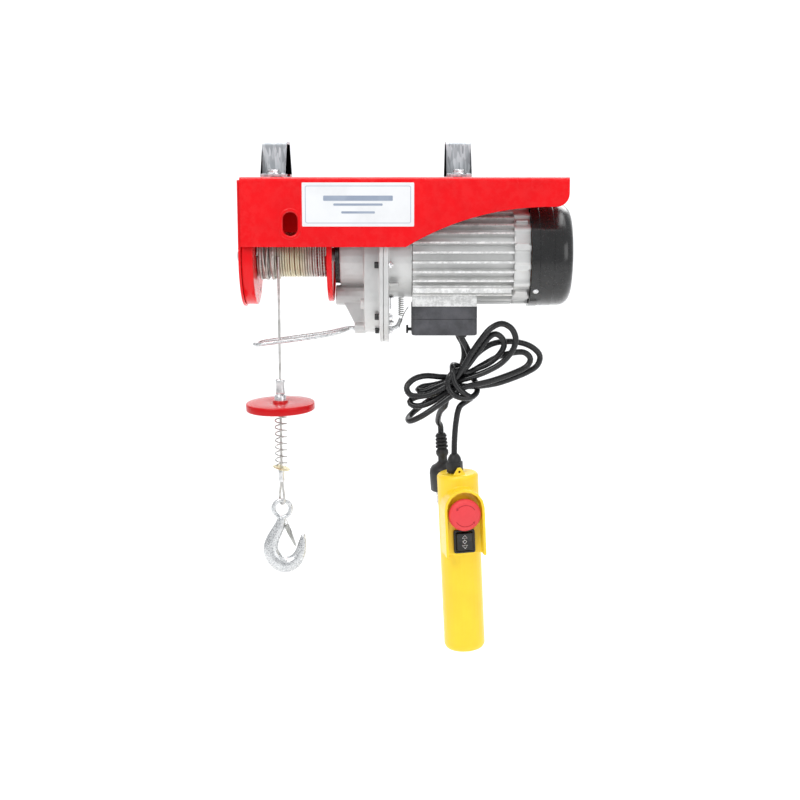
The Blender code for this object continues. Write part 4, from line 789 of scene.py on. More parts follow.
def build_plug():
    axis = PLUG_END - PLUG_TOP
    length = axis.length
    place = Matrix.Translation(PLUG_TOP) @ Vector((0, 0, -1)).rotation_difference(axis).to_matrix().to_4x4()
    profile = [(0, 0), (5.4 * MM, 0)]
    for k in range(4):
        top, wide = -2 * MM - 4.6 * MM * k, 6.6 * MM + 0.25 * MM * k
        profile += [(wide, top), (wide + 0.6 * MM, top - 0.6 * MM), (wide + 0.6 * MM, top - 2.6 * MM),
                    (5.2 * MM, top - 3.2 * MM)]
    profile += [
        (6.8 * MM, -21 * MM), (8 * MM, -23 * MM), (8 * MM, -27 * MM), (6.8 * MM, -29 * MM),
        (5.8 * MM, -31 * MM),
        (6 * MM, -36 * MM), (9 * MM, -39 * MM), (14.5 * MM, -42 * MM), (17.2 * MM, -46 * MM),
        (18 * MM, -51 * MM),
        (18 * MM, -length + 1.5 * MM), (16.6 * MM, -length), (0, -length),
    ]
    body = add("plug_body", lathe(profile, steps=64, place=place), "black", "root", 50,
               ["mains_plug"])
    for side in (-1, 1):
        tip = -length - 18.6 * MM
        pin = [(0, -length + 1 * MM), (2.4 * MM, -length + 1 * MM), (2.4 * MM, tip + 1.2 * MM),
               (1.4 * MM, tip), (0, tip)]
        shift = Matrix.Translation((side * 9.5 * MM, 0, 0))
        pin = add("plug_pin_left" if side < 0 else "plug_pin_right",
                  lathe(pin, steps=24, place=place @ shift),
                  "bolt", None)
        pin.parent = body
    return body


# Frame and straps


def build_channel():
    """Folded channel with its rounded folds, pressed window rim and label."""
    lo, hi = low("channel_frame"), high("channel_frame")
    sheet, fold = 3 * MM, 4.5 * MM
    deep, shallow, run, slope, corner = 80.5 * MM, 34 * MM, 193 * MM, 174 * MM, 15 * MM
    outline = [(lo.x, 0), (lo.x, -deep), (lo.x + run, -deep)]
    steps = 28
    for k in range(1, steps + 1):
        share = k / steps
        outline.append((lo.x + run + slope * share, -deep + (deep - shallow) * (1 - (1 - share) ** 2.2)))
    for k in range(9):
        turn = pi / 2 * k / 8
        outline.append((hi.x - corner + corner * sin(turn), -shallow + corner - corner * cos(turn)))
    outline.append((hi.x, 0))

    def folded(half, top, width, start, end):
        bm = prism(outline, "front", -half, half)
        for vert in bm.verts:
            if vert.co.x < lo.x + MM:
                vert.co.x = start
            elif vert.co.x > hi.x - MM / 100:
                vert.co.x = end
            if vert.co.z > -MM / 100:
                vert.co.z = top
        folds = [edge for edge in bm.edges
                 if all(abs(v.co.z - top) < 0.01 * MM for v in edge.verts)
                 and abs(edge.verts[0].co.y - edge.verts[1].co.y) < 0.01 * MM]
        bmesh.ops.bevel(bm, geom=folds, offset=width, affect="EDGES", segments=5, profile=0.5, material=-1)
        return bm

    half = hi.y
    shell = folded(half, 0, fold, lo.x, hi.x)
    room = folded(half - sheet, -sheet, fold - sheet, lo.x - sheet, hi.x + sheet)
    deeper = cuboid((lo.x - sheet, sheet - half, -0.2), (hi.x + sheet, half - sheet, -deep / 2))
    window = Vector((-88 * MM, 0, -53.8 * MM))
    slot = prism(oval(9.5 * MM, 14.75 * MM), "front", half - 3 * sheet, half + sheet, window)
    shell = carved(shell, room, deeper, slot)
    obj = add("channel_sheet", shell, "red", "root", 30, ["channel_frame"])
    round_edges(obj, 0.4 * MM, 2, 50)
    front = Vector((window.x, lo.y, window.z))
    path = [front + Vector((u, 0, v)) for u, v in oval(11.2 * MM, 16.4 * MM, 24)]
    rim = tube(path, sizes().window_rim, 4, closed=True)
    bmesh.ops.scale(rim, vec=(1, 0.42, 1), space=Matrix.Translation(-front), verts=rim.verts)
    add("window_rim", rim, "red", "root")
    # The window's inner lip is drawn in the darker red: painted shade inside the slot.
    inner = [front + Vector((u, 1.2 * MM, v)) for u, v in oval(9.4 * MM, 14.6 * MM, 24)]
    add("window_lip_painted_shade", tube(inner, 1.0 * MM, 3, closed=True), "red_gloss", "root")
    label()


def label():
    """A plain film label: a border and three bars, with no lettering."""
    front = low("channel_frame").y
    left, right, top, bottom = -74 * MM, 56.2 * MM, -6.1 * MM, -56.6 * MM
    corners = [(left, bottom), (right, bottom), (right, top), (left, top)]
    face = -front
    film = prism(eased(corners, 1.2 * MM), "front", face - 0.05 * MM, face + 0.18 * MM)
    add("label_film", film, "sticker", "root", 60)
    inset = 4 * MM
    outer = eased([(left + inset, bottom + inset), (right - inset, bottom + inset),
                   (right - inset, top - inset),
                   (left + inset, top - inset)], 2 * MM)
    line = [Vector((u, -face - 0.18 * MM, v)) for u, v in outer]
    border = tube(line, 0.35 * MM, 1, closed=True)
    bmesh.ops.scale(border, vec=(1, 0.15, 1), space=Matrix.Translation((0, face + 0.18 * MM, 0)),
                    verts=border.verts)
    shapes = [border]
    for row, (share, height) in enumerate(((0.62, 6 * MM), (0.44, 2.6 * MM), (0.3, 2.6 * MM))):
        middle_x, z = (left + right) / 2, top - 15 * MM - row * 9 * MM
        half = share * (right - left) / 2
        bar = eased([(middle_x - half, z - height), (middle_x + half, z - height), (middle_x + half, z),
                     (middle_x - half, z)], 1 * MM)
        shapes.append(prism(bar, "front", face + 0.1 * MM, face + 0.24 * MM))
    add("label_bars", merged(*shapes), "print", "root", 60)


def build_straps():
    """Bent galvanised straps with their hex bolts, washers and nuts."""
    for side in ("left", "right"):
        node = f"beam_strap_{side}"
        lo, hi = low(node), high(node)
        sheet = 3.5 * MM
        inner = 21 * MM
        outer, toe = inner + sheet, hi.y
        outline = [
            (-toe, lo.z), (-inner, lo.z), (-inner, hi.z - sheet), (inner, hi.z - sheet), (inner, lo.z),
            (toe, lo.z),
            (toe, lo.z + sheet), (outer, lo.z + sheet), (outer, hi.z), (-outer, hi.z),
            (-outer, lo.z + sheet),
            (-toe, lo.z + sheet),
        ]
        sharp, bend, wide = 0.4 * MM, 1.5 * MM, 5 * MM
        radii = [sharp, wide, bend, bend, wide, sharp, sharp, bend, wide, wide, bend, sharp]
        strap = prism(eased(outline, radii, 6), "x", lo.x, hi.x)
        obj = add(f"strap_{side}", strap, "galvanised", "root", 30, [node])
        round_edges(obj, 0.5 * MM, 2, 60)
        for depth in ("front", "back"):
            bolt(f"strap_bolt_{side}_{depth}", lo.z + sheet)


def bolt(node, seat):
    place = middle(node)
    at = Vector((place.x, place.y, 0))
    top = high(node).z
    head = soften(prism(hexagon(13 * MM, pi / 6), "z", seat + 1.6 * MM, top, at), 0.5 * MM)
    washer = ring([(4.3 * MM, seat), (9 * MM, seat), (9 * MM, seat + 1.3 * MM), (8.6 * MM, seat + 1.6 * MM),
                   (4.3 * MM, seat + 1.6 * MM)], "z", at, 48)
    stud = lathe([(0, seat + 2 * MM), (3.9 * MM, seat + 2 * MM), (3.9 * MM, low(node).z + 0.8 * MM),
                  (3.2 * MM, low(node).z), (0, low(node).z)], "z", at, 32)
    nut = soften(prism(hexagon(13 * MM, pi / 6), "z", -9.3 * MM, -3.3 * MM, at), 0.5 * MM)
    add(f"{node}_set", merged(head, washer, stud, nut), "bolt", "root", 40, [node])


# Drum and rope


def build_drum():
    """End plate, drum with rolled flange edges, wound rope, and a black ring behind the drum that is painted shade
    filling the gap before the gear case.
    """
    lo, hi = low("drum_support_plate"), high("drum_support_plate")
    half = hi.y
    centre = AXIS.z
    outline = [(half, hi.z - centre), (-half, hi.z - centre)]
    outline += [(half * cos(pi + pi * k / 64), half * sin(pi + pi * k / 64)) for k in range(65)]
    bore = prism([(11.9 * MM * cos(2 * pi * k / 48), 11.9 * MM * sin(2 * pi * k / 48)) for k in range(48)],
                 "x", lo.x - MM, hi.x + MM, AXIS)
    plate = carved(prism(outline, "x", lo.x, hi.x, AXIS), bore)
    round_edges(add("end_plate", plate, "red", "root", 30, ["drum_support_plate"]), 0.7 * MM,
                3, 50)
    lo, hi = low("rope_drum"), high("rope_drum")
    edge, barrel, flange, lip = hi.y, 19.5 * MM, 4 * MM, 2 * MM
    bore, r = 8.3 * MM, 1.6 * MM
    small = edge - 4 * MM
    left, right = -137 * MM, -43 * MM
    profile = [(bore, left), (bore, right), (small - lip, right), (small - lip, hi.x - 0.5 * MM),
               (small - lip + 0.5 * MM, hi.x), (small - 0.7 * MM, hi.x), (small, hi.x - 0.7 * MM)]
    profile += [(small - r + r * cos(k * pi / 8),
                 right - flange + r - r * sin(k * pi / 8)) for k in range(5)]
    profile += [(barrel, right - flange), (barrel, left + flange)]
    profile += [(edge - r + r * sin(k * pi / 8), left + flange - r + r * cos(k * pi / 8)) for k in range(5)]
    profile += [(edge - 0.3 * MM, left - 2 * MM), (edge - 0.3 * MM, lo.x + 2.2 * MM),
                (edge, lo.x + 1.4 * MM),
                (edge - 0.4 * MM, lo.x + 0.3 * MM), (edge - lip + 0.4 * MM, lo.x),
                (edge - lip, lo.x + 0.4 * MM),
                (edge - lip, left)]
    add("drum_body", ring(profile, "x", AXIS, 128), "red", "drum", 30, ["rope_drum"])
    # A thin black disc on each flange's inner face, with no hole cut: painted shade standing for a small dark
    # hole.
    for place in (left + flange + 0.05 * MM, right - flange - 0.05 * MM):
        at = Vector((place, 0, 0)) + AXIS
        angle = radians(-62)
        spot = at + Vector((0, cos(angle) * 50 * MM, sin(angle) * 50 * MM))
        add(f"rope_hole_painted_shade_{'left' if place < -90 * MM else 'right'}",
            lathe([(0, 0.15 * MM), (2.4 * MM, 0.15 * MM), (2.6 * MM, -0.15 * MM), (0, -0.15 * MM)], "x",
                  spot, 24),
            "black", "drum")
    wind_rope()
    # The black ring behind the drum is painted shade: it fills the dark gap between the drum's flange and the gear
    # case.
    lo, hi = low("bearing_cover"), high("bearing_cover")
    edge = hi.y
    shade_ring = [(8.4 * MM, lo.x), (8.4 * MM, hi.x), (edge, hi.x)]
    for k in range(3):
        x = hi.x - 1.1 * MM - 1.7 * MM * k
        shade_ring += [(edge, x), (edge - 0.7 * MM, x - 0.3 * MM), (edge - 0.7 * MM, x - 0.6 * MM)]
    shade_ring += [(edge - 1 * MM, lo.x)]
    add("black_ring_painted_shade", ring(shade_ring, "x", AXIS, 96), "black_gloss", "root", 40,
        ["bearing_cover"])


def wind_rope():
    """The full layer laid side by side, and a few crossing turns on top where the rope leaves."""
    lo, hi = low("rope_winding"), high("rope_winding")
    radius = 1.5 * MM
    path = []
    first, last = lo.x + radius, hi.x - radius
    turns, steps = 27, 44
    for k in range(turns * steps + 1):
        turn = 2 * pi * k / steps
        x = last + (first - last) * k / (turns * steps) + 0.25 * MM * sin(3.1 * turn / 7)
        path.append(Vector((x, -25.8 * MM * cos(turn), AXIS.z + 25.8 * MM * sin(turn))))
    base = laid_rope(path, radius * 1.04, sizes().wound_lay)
    stations = (
        (-131.2, 0.0), (-127.4, 1.0), (-124.6, 2.0), (-120.6, 3.0), (-113.5, 3.7), (-112.2, 4.6),
        (-119.0, 5.5),
        (-127.5, 6.3), (-128.4, 7.0), (-121.0, 7.8), (-115.8, 8.5), (-111.0, 9.2), (-106.0, 10.0),
    )
    top = []
    for (x, turn), (next_x, next_turn) in zip(stations, stations[1:]):
        count = round((next_turn - turn) * steps)
        for k in range(count):
            share = k / count
            ease = share * share * (3 - 2 * share)
            angle = 2 * pi * (turn + (next_turn - turn) * share)
            lift = 28.7 * MM + (0.9 * MM if 3 < turn + share < 9 else 0) * sin(pi * share)
            place = (x + (next_x - x) * ease) * MM
            top.append(Vector((place, -lift * cos(angle), AXIS.z + lift * sin(angle))))
    top.append(Vector((-106 * MM, FALL.y, AXIS.z)))
    over = laid_rope(top, radius * 1.02, sizes().wound_lay)
    add("wound_rope", merged(base, over), "rope", "drum", 0, ["rope_winding"])


def build_hook_line():
    """Rope fall, crimped sleeve, limit weight with its collar, spring, washer, ferrule and rope eye."""
    lo, hi = low("rope_fall"), high("rope_fall")
    at = Vector((FALL.x, FALL.y, 0))
    count = round((hi.z - lo.z) / (1.2 * MM))
    path = [at + Vector((0, 0, hi.z + (lo.z - MM - hi.z) * k / count)) for k in range(count + 1)]
    fall = add("fall_rope", laid_rope(path, 1.55 * MM, sizes().lay), "rope_bright", None, 0,
               ["rope_fall"])
    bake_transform(fall)
    lo, hi = low("rope_tail"), high("rope_tail")
    count = round((hi.z - lo.z) / (1.2 * MM))
    path = [at + Vector((0, 0, hi.z + (lo.z - hi.z) * k / count)) for k in range(count + 1)]
    add("tail_rope", laid_rope(path, 1.55 * MM, sizes().lay), "rope_bright", "hook_line", 0,
        ["rope_tail"])
    lo, hi = low("rope_stop_sleeve"), high("rope_stop_sleeve")
    wide = hi.x - at.x
    sleeve = lathe([(1.7 * MM, hi.z), (wide - 1.4 * MM, hi.z), (wide - 0.4 * MM, hi.z - 0.8 * MM),
                    (wide, hi.z - 2 * MM), (wide - 0.7 * MM, hi.z - 5 * MM),
                    (wide - 0.7 * MM, lo.z + 5 * MM),
                    (wide, lo.z + 2 * MM), (wide - 0.4 * MM, lo.z + 0.8 * MM), (wide - 1.4 * MM, lo.z),
                    (1.7 * MM, lo.z)], "z", at, 48)
    bmesh.ops.scale(sleeve, vec=(1, 0.72, 1), space=Matrix.Translation(-at), verts=sleeve.verts)
    add("stop_sleeve", sleeve, "aluminium", "hook_line", 50, ["rope_stop_sleeve"])
    weight(at)
    spring_and_ferrule(at)


def weight(at):
    lo, hi = low("limit_weight"), high("limit_weight")
    edge = hi.x - at.x
    top = hi.z - 9 * MM
    r = 1.8 * MM
    disc = [(9.6 * MM, top + 0.4 * MM), (30 * MM, top + 0.4 * MM), (edge - r, top)]
    disc += [(edge - r + r * sin(k * pi / 8), top - r + r * cos(k * pi / 8)) for k in range(1, 5)]
    disc += [(edge - r + r * cos(k * pi / 8), lo.z + r - r * sin(k * pi / 8)) for k in range(5)]
    disc += [(1.9 * MM, lo.z), (1.9 * MM, top - 1 * MM)]
    lean = Matrix.Translation(at + Vector((0, 0, lo.z))) @ Matrix.Rotation(radians(1.6), 4, "X")
    lean = lean @ Matrix.Rotation(radians(-1.2), 4, "Y") @ Matrix.Translation(-at - Vector((0, 0, lo.z)))
    plate = ring(disc, "z", at, 128)
    bmesh.ops.transform(plate, matrix=lean, verts=plate.verts)
    add("weight_disc", plate, "red_gloss", "weight", 30, ["limit_weight"])
    base = [(1.9 * MM, top - 0.5 * MM), (9.8 * MM, top - 0.5 * MM), (9.6 * MM, top + 1.2 * MM),
            (8.8 * MM, top + 2.4 * MM), (1.9 * MM, top + 2.4 * MM)]
    neck = [(1.9 * MM, top + 2.2 * MM), (7.2 * MM, top + 2.2 * MM), (7.2 * MM, hi.z - 1 * MM),
            (6.4 * MM, hi.z),
            (1.9 * MM, hi.z)]
    add("weight_base", ring(base, "z", at, 64), "red_gloss", "weight", 40)
    add("weight_collar", ring(neck, "z", at, 64), "bolt", "weight", 40)


def spring_and_ferrule(at):
    lo, hi = low("limit_spring"), high("limit_spring")
    wire = 0.75 * MM
    coil = helix(at, 7 * MM, hi.z - wire, lo.z + wire, 8.5, 28)
    spring = add("weight_spring", tube(coil, wire, 3), "spring", None, 50, ["limit_spring"])
    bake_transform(spring)
    lo, hi = low("spring_washer"), high("spring_washer")
    wide = hi.x - at.x
    washer = ring([(1.9 * MM, hi.z - 0.2 * MM), (wide - 0.5 * MM, hi.z - 0.2 * MM), (wide, hi.z - 0.7 * MM),
                   (wide, hi.z - 1.6 * MM), (wide - 0.5 * MM, hi.z - 2 * MM), (1.9 * MM, hi.z - 2 * MM)],
                   "z", at, 64)
    tilt = Matrix.Translation(at + Vector((0, 0, hi.z - MM))) @ Matrix.Rotation(radians(13), 4, "Y")
    bmesh.ops.transform(washer, matrix=tilt @ Matrix.Translation(-at - Vector((0, 0, hi.z - MM))),
                        verts=washer.verts)
    add("spring_seat", washer, "yellow_zinc", "hook_line", 40, ["spring_washer"])
    lo, hi = low("rope_ferrule"), high("rope_ferrule")
    wide = hi.x - at.x
    ferrule = lathe([(1.7 * MM, hi.z), (wide - 0.6 * MM, hi.z), (wide, hi.z - 0.8 * MM),
                     (wide - 0.4 * MM, hi.z - 4 * MM),
                     (wide - 0.4 * MM, lo.z + 4 * MM), (wide, lo.z + 0.8 * MM), (wide - 0.6 * MM, lo.z),
                     (0, lo.z)],
                    "z", at, 40)
    add("eye_ferrule", ferrule, "aluminium", "hook_line", 50, ["rope_ferrule"])
    start = lo.z - 0.3 * MM
    bottom = low("rope_eye").z + 1.5 * MM
    half = high("rope_eye").y - at.y - 1.5 * MM
    centre_z = bottom + half
    route = [(0, -1.9 * MM, start + MM), (0, -1.9 * MM, start - 3 * MM), (0, -half, centre_z + 5 * MM)]
    route += [(0, -half * cos(pi * k / 12), centre_z - half * sin(pi * k / 12)) for k in range(13)]
    route += [(0, half, centre_z + 5 * MM), (0, 1.9 * MM, start - 3 * MM), (0, 1.9 * MM, start + MM)]
    turn = Matrix.Rotation(radians(38), 3, "Z")
    loop = laid_rope(smooth_route([turn @ Vector(point) + at for point in route], 1 * MM), 1.5 * MM,
                     sizes().lay)
    add("eye_rope", loop, "rope_bright", "hook_line", 0, ["rope_eye"])


def build_hook():
    """Forged hook with its eye, and the pressed latch on its pin."""
    swing = next(joint for joint in frame["joints"] if joint["name"] == "hook_swing")["pos_m"]
    eye = Vector((swing[0], swing[1], swing[2] - (7.75 - 1.5 - 0.3) * MM))
    stations = [
        (0, -11, 5.0), (-2.4, -19, 6.2), (-7, -29, 7.4), (-12, -39, 8.4), (-14.8, -50, 9.4),
        (-12.5, -60, 10.1), (-6, -68, 10.7), (3, -71.5, 10.6), (12, -69, 9.6), (19, -62, 8.0),
        (22.8, -53, 6.6), (24.6, -43, 5.0), (25.6, -35.5, 3.0),
    ]
    spots = smooth_route([Vector((x, z, r)) for x, z, r in stations], 2.0)
    body = tube([Vector((x * MM, 0, z * MM)) for x, z, _ in spots], 1, 6, [r * MM for _, _, r in spots])
    bmesh.ops.scale(body, vec=(1, 0.8, 1), verts=body.verts)
    ring_bar = tube([Vector((10.65 * MM * cos(t), 0, 10.65 * MM * sin(t))) for t in
                     (2 * pi * k / 48 for k in range(48))], 2.9 * MM, 5, closed=True)
    pivot = next(joint for joint in frame["joints"] if joint["name"] == "latch_swing")["pos_m"]
    pin = Vector(pivot) - eye
    boss = lathe([(0, 2.1 * MM), (3.4 * MM, 2.1 * MM), (3.4 * MM, -2.1 * MM), (0, -2.1 * MM)], "front", pin,
                 32)
    web = cuboid(pin + Vector((-8 * MM, -2 * MM, -3 * MM)), pin + Vector((0, 2 * MM, 3 * MM)))
    tip = lathe([(0, 3 * MM), (1.8 * MM, 2.4 * MM), (3 * MM, 0), (2.2 * MM, -2 * MM), (0, -3 * MM)], "z",
                Vector((25.8 * MM, 0, -34.6 * MM)), 24)
    forged = merged(body, ring_bar, boss, web, tip)
    bmesh.ops.translate(forged, vec=eye, verts=forged.verts)
    add("forged_hook", cast_skin(forged, 0.65 * MM, 5), "forged", "hook", 0, ["load_hook"])
    build_latch(Vector(pivot))


def build_latch(pivot):
    reach, drop = 9.6 * MM, 26.5 * MM
    lean = atan2(reach, drop)
    length = sqrt(reach**2 + drop**2)
    place = Matrix.Translation(pivot) @ Matrix.Rotation(-lean, 4, "Y")
    sheet = 1.2 * MM
    outline = [(4.4 * MM, -5.5 * MM), (-4.4 * MM, -5.5 * MM), (-4.4 * MM, -length + 4 * MM),
               (-2.6 * MM, -length),
               (2.6 * MM, -length), (4.4 * MM, -length + 4 * MM)]
    web = prism(eased(outline, 0.8 * MM), "x", 1.2 * MM, 1.2 * MM + sheet / 2, place=place @ laid("x"))
    shapes = [web]  # with a cheek on each side
    for side in (-1, 1):
        cheek = [(-2.6 * MM, 1.2 * MM), (2.6 * MM, 1.2 * MM), (2.4 * MM, -7 * MM),
                 (1.8 * MM, -length + 3 * MM),
                 (0.4 * MM, -length + 3 * MM), (-2.2 * MM, -7 * MM)]
        low_y = side * 3.4 * MM - sheet / 2
        shapes.append(prism(eased(cheek, 1.1 * MM), "front", low_y, low_y + sheet,
                            place=place @ laid("front")))
    rivet = [(0, 5.2 * MM), (2.2 * MM, 5.0 * MM), (2.4 * MM, 4.2 * MM), (1.3 * MM, 4.1 * MM),
             (1.3 * MM, -4.1 * MM),
             (2.4 * MM, -4.2 * MM), (2.2 * MM, -5.0 * MM), (0, -5.2 * MM)]
    shapes.append(lathe(rivet, "front", pivot, 24))
    add("latch_plate", merged(*shapes), "spring", "latch", 35, ["hook_latch"])
    coil = helix(Vector((0, 0, 0)), 2.5 * MM, 2.2 * MM, -2.2 * MM, 3, 16)
    legs = [Vector((2.5 * MM, 9 * MM, 2.2 * MM))] + coil + [Vector((2.5 * MM, -9 * MM, -2.2 * MM))]
    spring = tube(legs, 0.45 * MM, 2)
    bmesh.ops.transform(spring, matrix=place @ laid("front"), verts=spring.verts)
    add("latch_spring", spring, "spring", "latch")


# Gear case, motor flange and stop lever


def build_gear_case():
    """Cast gear case and motor flange with their ribs, screws and the switch tab."""
    bm = node_shape("gear_case")
    joint = -2.6 * MM  # where the case's own flange starts
    ribs = []
    for angle in (28, 62, 118, 152):
        rib = cuboid((-20 * MM, -1.4 * MM, 37 * MM), (joint, 1.4 * MM, 58 * MM))
        turn = Matrix.Translation(AXIS) @ Matrix.Rotation(radians(90 - angle), 4, "X")
        bmesh.ops.transform(rib, matrix=turn, verts=rib.verts)
        ribs.append(rib)
    gusset = prism([(-30 * MM, -36 * MM), (joint, -58 * MM), (joint, -36 * MM)], "front",
                   -2.2 * MM, 2.2 * MM, AXIS)
    bm = merged(bm, gusset, *ribs)
    for y in (-33 * MM, 33 * MM):
        lug = [(0, -5 * MM), (6.2 * MM, -5 * MM), (6.8 * MM, 4 * MM), (0, 4 * MM)]
        bm = merged(bm, lathe(lug, "x", Vector((joint, y, -150 * MM)), 24))
    add("gear_case_cast", cast_skin(bm, 0.9 * MM, 4), "cast", "root", 0, ["gear_case"])
    bm = node_shape("motor_flange")
    ledge = prism([(-52 * MM, 0), (52 * MM, 0), (48 * MM, -4 * MM), (-48 * MM, -4 * MM)], "x", 26.4 * MM,
                  38 * MM,
                  Vector((0, 0, -124 * MM)))
    add("motor_flange_cast", cast_skin(merged(bm, ledge), 0.9 * MM, 4), "cast", "root", 0,
        ["motor_flange"])
    case_screws()
    switch_tab()


def case_screws():
    """Socket screws on the case side and nuts on the motor side, all round the joint."""
    for node in ("case_screw_upper", "case_screw_lower"):
        at = middle(node)
        screw(f"{node}_set", Vector((0, at.y, at.z)), [node])
    for k, (y, z) in enumerate(((46, -122), (24, -178), (-24, -183))):
        screw(f"case_screw_side_{k}", Vector((0, y * MM, z * MM)), [])


def screw(name, at, replaced):
    seat = 14.6 * MM
    head = [(0, seat), (3.9 * MM, seat), (3.9 * MM, seat - 4.4 * MM), (3.5 * MM, seat - 5 * MM),
            (2.2 * MM, seat - 5 * MM), (2.2 * MM, seat - 2.6 * MM), (0, seat - 2.6 * MM)]
    nut_seat = 26.5 * MM
    nut = soften(prism(hexagon(7.6 * MM), "x", nut_seat, nut_seat + 3.6 * MM, at), 0.3 * MM)
    tail = lathe([(0, nut_seat), (2 * MM, nut_seat), (2 * MM, nut_seat + 4.8 * MM),
                  (1.6 * MM, nut_seat + 5.4 * MM),
                  (0, nut_seat + 5.4 * MM)], "x", at, 20)
    add(name, lathe(head, "x", at, 24), "black", "root", 35, replaced)
    add(f"{name}_nut", merged(nut, tail), "bolt", "root", 35)


def switch_tab():
    """Bent steel tab under the flange that the trip wire starts from."""
    tab = cuboid((27.5 * MM, -17 * MM, -158 * MM), (29.2 * MM, -7 * MM, -143 * MM))
    foot = cuboid((27.5 * MM, -17 * MM, -144.7 * MM), (32 * MM, -7 * MM, -143 * MM))
    add("switch_tab", soften(merged(tab, foot), 0.3 * MM), "bolt", "root", 40)


def build_lever():
    """Limit lever bent from round bar, its spring, the trip wire and the switch plunger."""
    rope, shaft = FALL.y / MM, (-12, -181.5)
    near, far, left = rope - 14, rope + 14, FALL.x / MM - 16
    route = millimetres(
        (41, -12, -169.5), (37.5, -12, -177.5), (31, *shaft), (10, *shaft), (-5, *shaft), (-17.6, *shaft),
        (-23.6, *shaft), (-50, far, -187), (-92, far, -193), (left, far - 1, -197),
        (left - 10, rope + 8, -199),
        (left - 14, rope, -199), (left - 10, rope - 8, -199), (left, near + 1, -197), (-92, near, -193),
        (-50, near, -187), (-31.6, near + 5, -183), (-23.6, -21, -181.5),
    )
    heel = cuboid(Vector((-26.6, -23, -182.5)) * MM, Vector((-20.6, -12, -180.5)) * MM)
    bar = tube(smooth_route(route, 1.5 * MM), 2.4 * MM, 5)
    add("lever_bar", merged(bar, soften(heel, 0.6 * MM)), "forged", "lever", 45, ["stop_lever"])
    lo, hi = low("lever_spring"), high("lever_spring")
    centre = (lo + hi) / 2
    wire = 0.55 * MM
    radius = (hi.x - lo.x) / 2 - wire
    coil = helix(Vector((centre.x, centre.y, 0)), radius, hi.z - wire, lo.z + wire, 9, 24)
    spring = add("lever_coil", tube(coil, wire, 2), "spring", None, 50, ["lever_spring"])
    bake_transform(spring)
    wire_route = millimetres((39, -14, -180.7), (41, -17, -172), (46, -17, -161), (50, -16, -155))
    add("trip_wire", tube(smooth_route(wire_route, 1.2 * MM), 0.5 * MM, 2), "spring", "root", 50)
    lo, hi = low("limit_plunger"), high("limit_plunger")
    at = (lo + hi) / 2
    wide = (hi.z - lo.z) / 2
    stem = [(0, lo.x), (wide - 0.5 * MM, lo.x), (wide, lo.x + 0.5 * MM), (wide, lo.x + 2.2 * MM),
            (wide - 0.4 * MM, lo.x + 2.6 * MM), (2 * MM, lo.x + 2.8 * MM), (2 * MM, hi.x), (0, hi.x)]
    add("plunger_pin", lathe(stem, "x", Vector((0, at.y, at.z)), 32), "black", "plunger",
        40,
        ["limit_plunger"])


# Motor and switch box


def build_motor():
    """Finned motor housing, end shield, fan cover with its grille, and the fan."""
    obj = add("motor_shell", node_shape("motor_housing"), "cast", "root", 30, ["motor_housing"])
    round_edges(obj, 0.35 * MM, 1, 40)
    shield()
    fan_cover()
    add("fan_blades", node_shape("cooling_fan"), "black", "rotor", 30, ["cooling_fan"])


def shield():
    lo, hi = low("motor_end_shield"), high("motor_end_shield")
    shapes = [node_shape("motor_end_shield")]
    for angle in range(15, 360, 30):
        rib = cuboid((lo.x + 2 * MM, -1.2 * MM, 50 * MM), (hi.x - 3 * MM, 1.2 * MM, 60.5 * MM))
        bmesh.ops.transform(rib, matrix=Matrix.Translation(AXIS) @ Matrix.Rotation(radians(angle), 4, "X"),
                            verts=rib.verts)
        shapes.append(rib)
    lug = cuboid((lo.x + 1 * MM, -40 * MM, -139 * MM), (hi.x - 2 * MM, -26 * MM, -125 * MM))
    shapes.append(soften(lug, 1 * MM))
    add("end_shield_cast", cast_skin(merged(*shapes), 0.9 * MM, 4), "cast", "root", 0,
        ["motor_end_shield"])


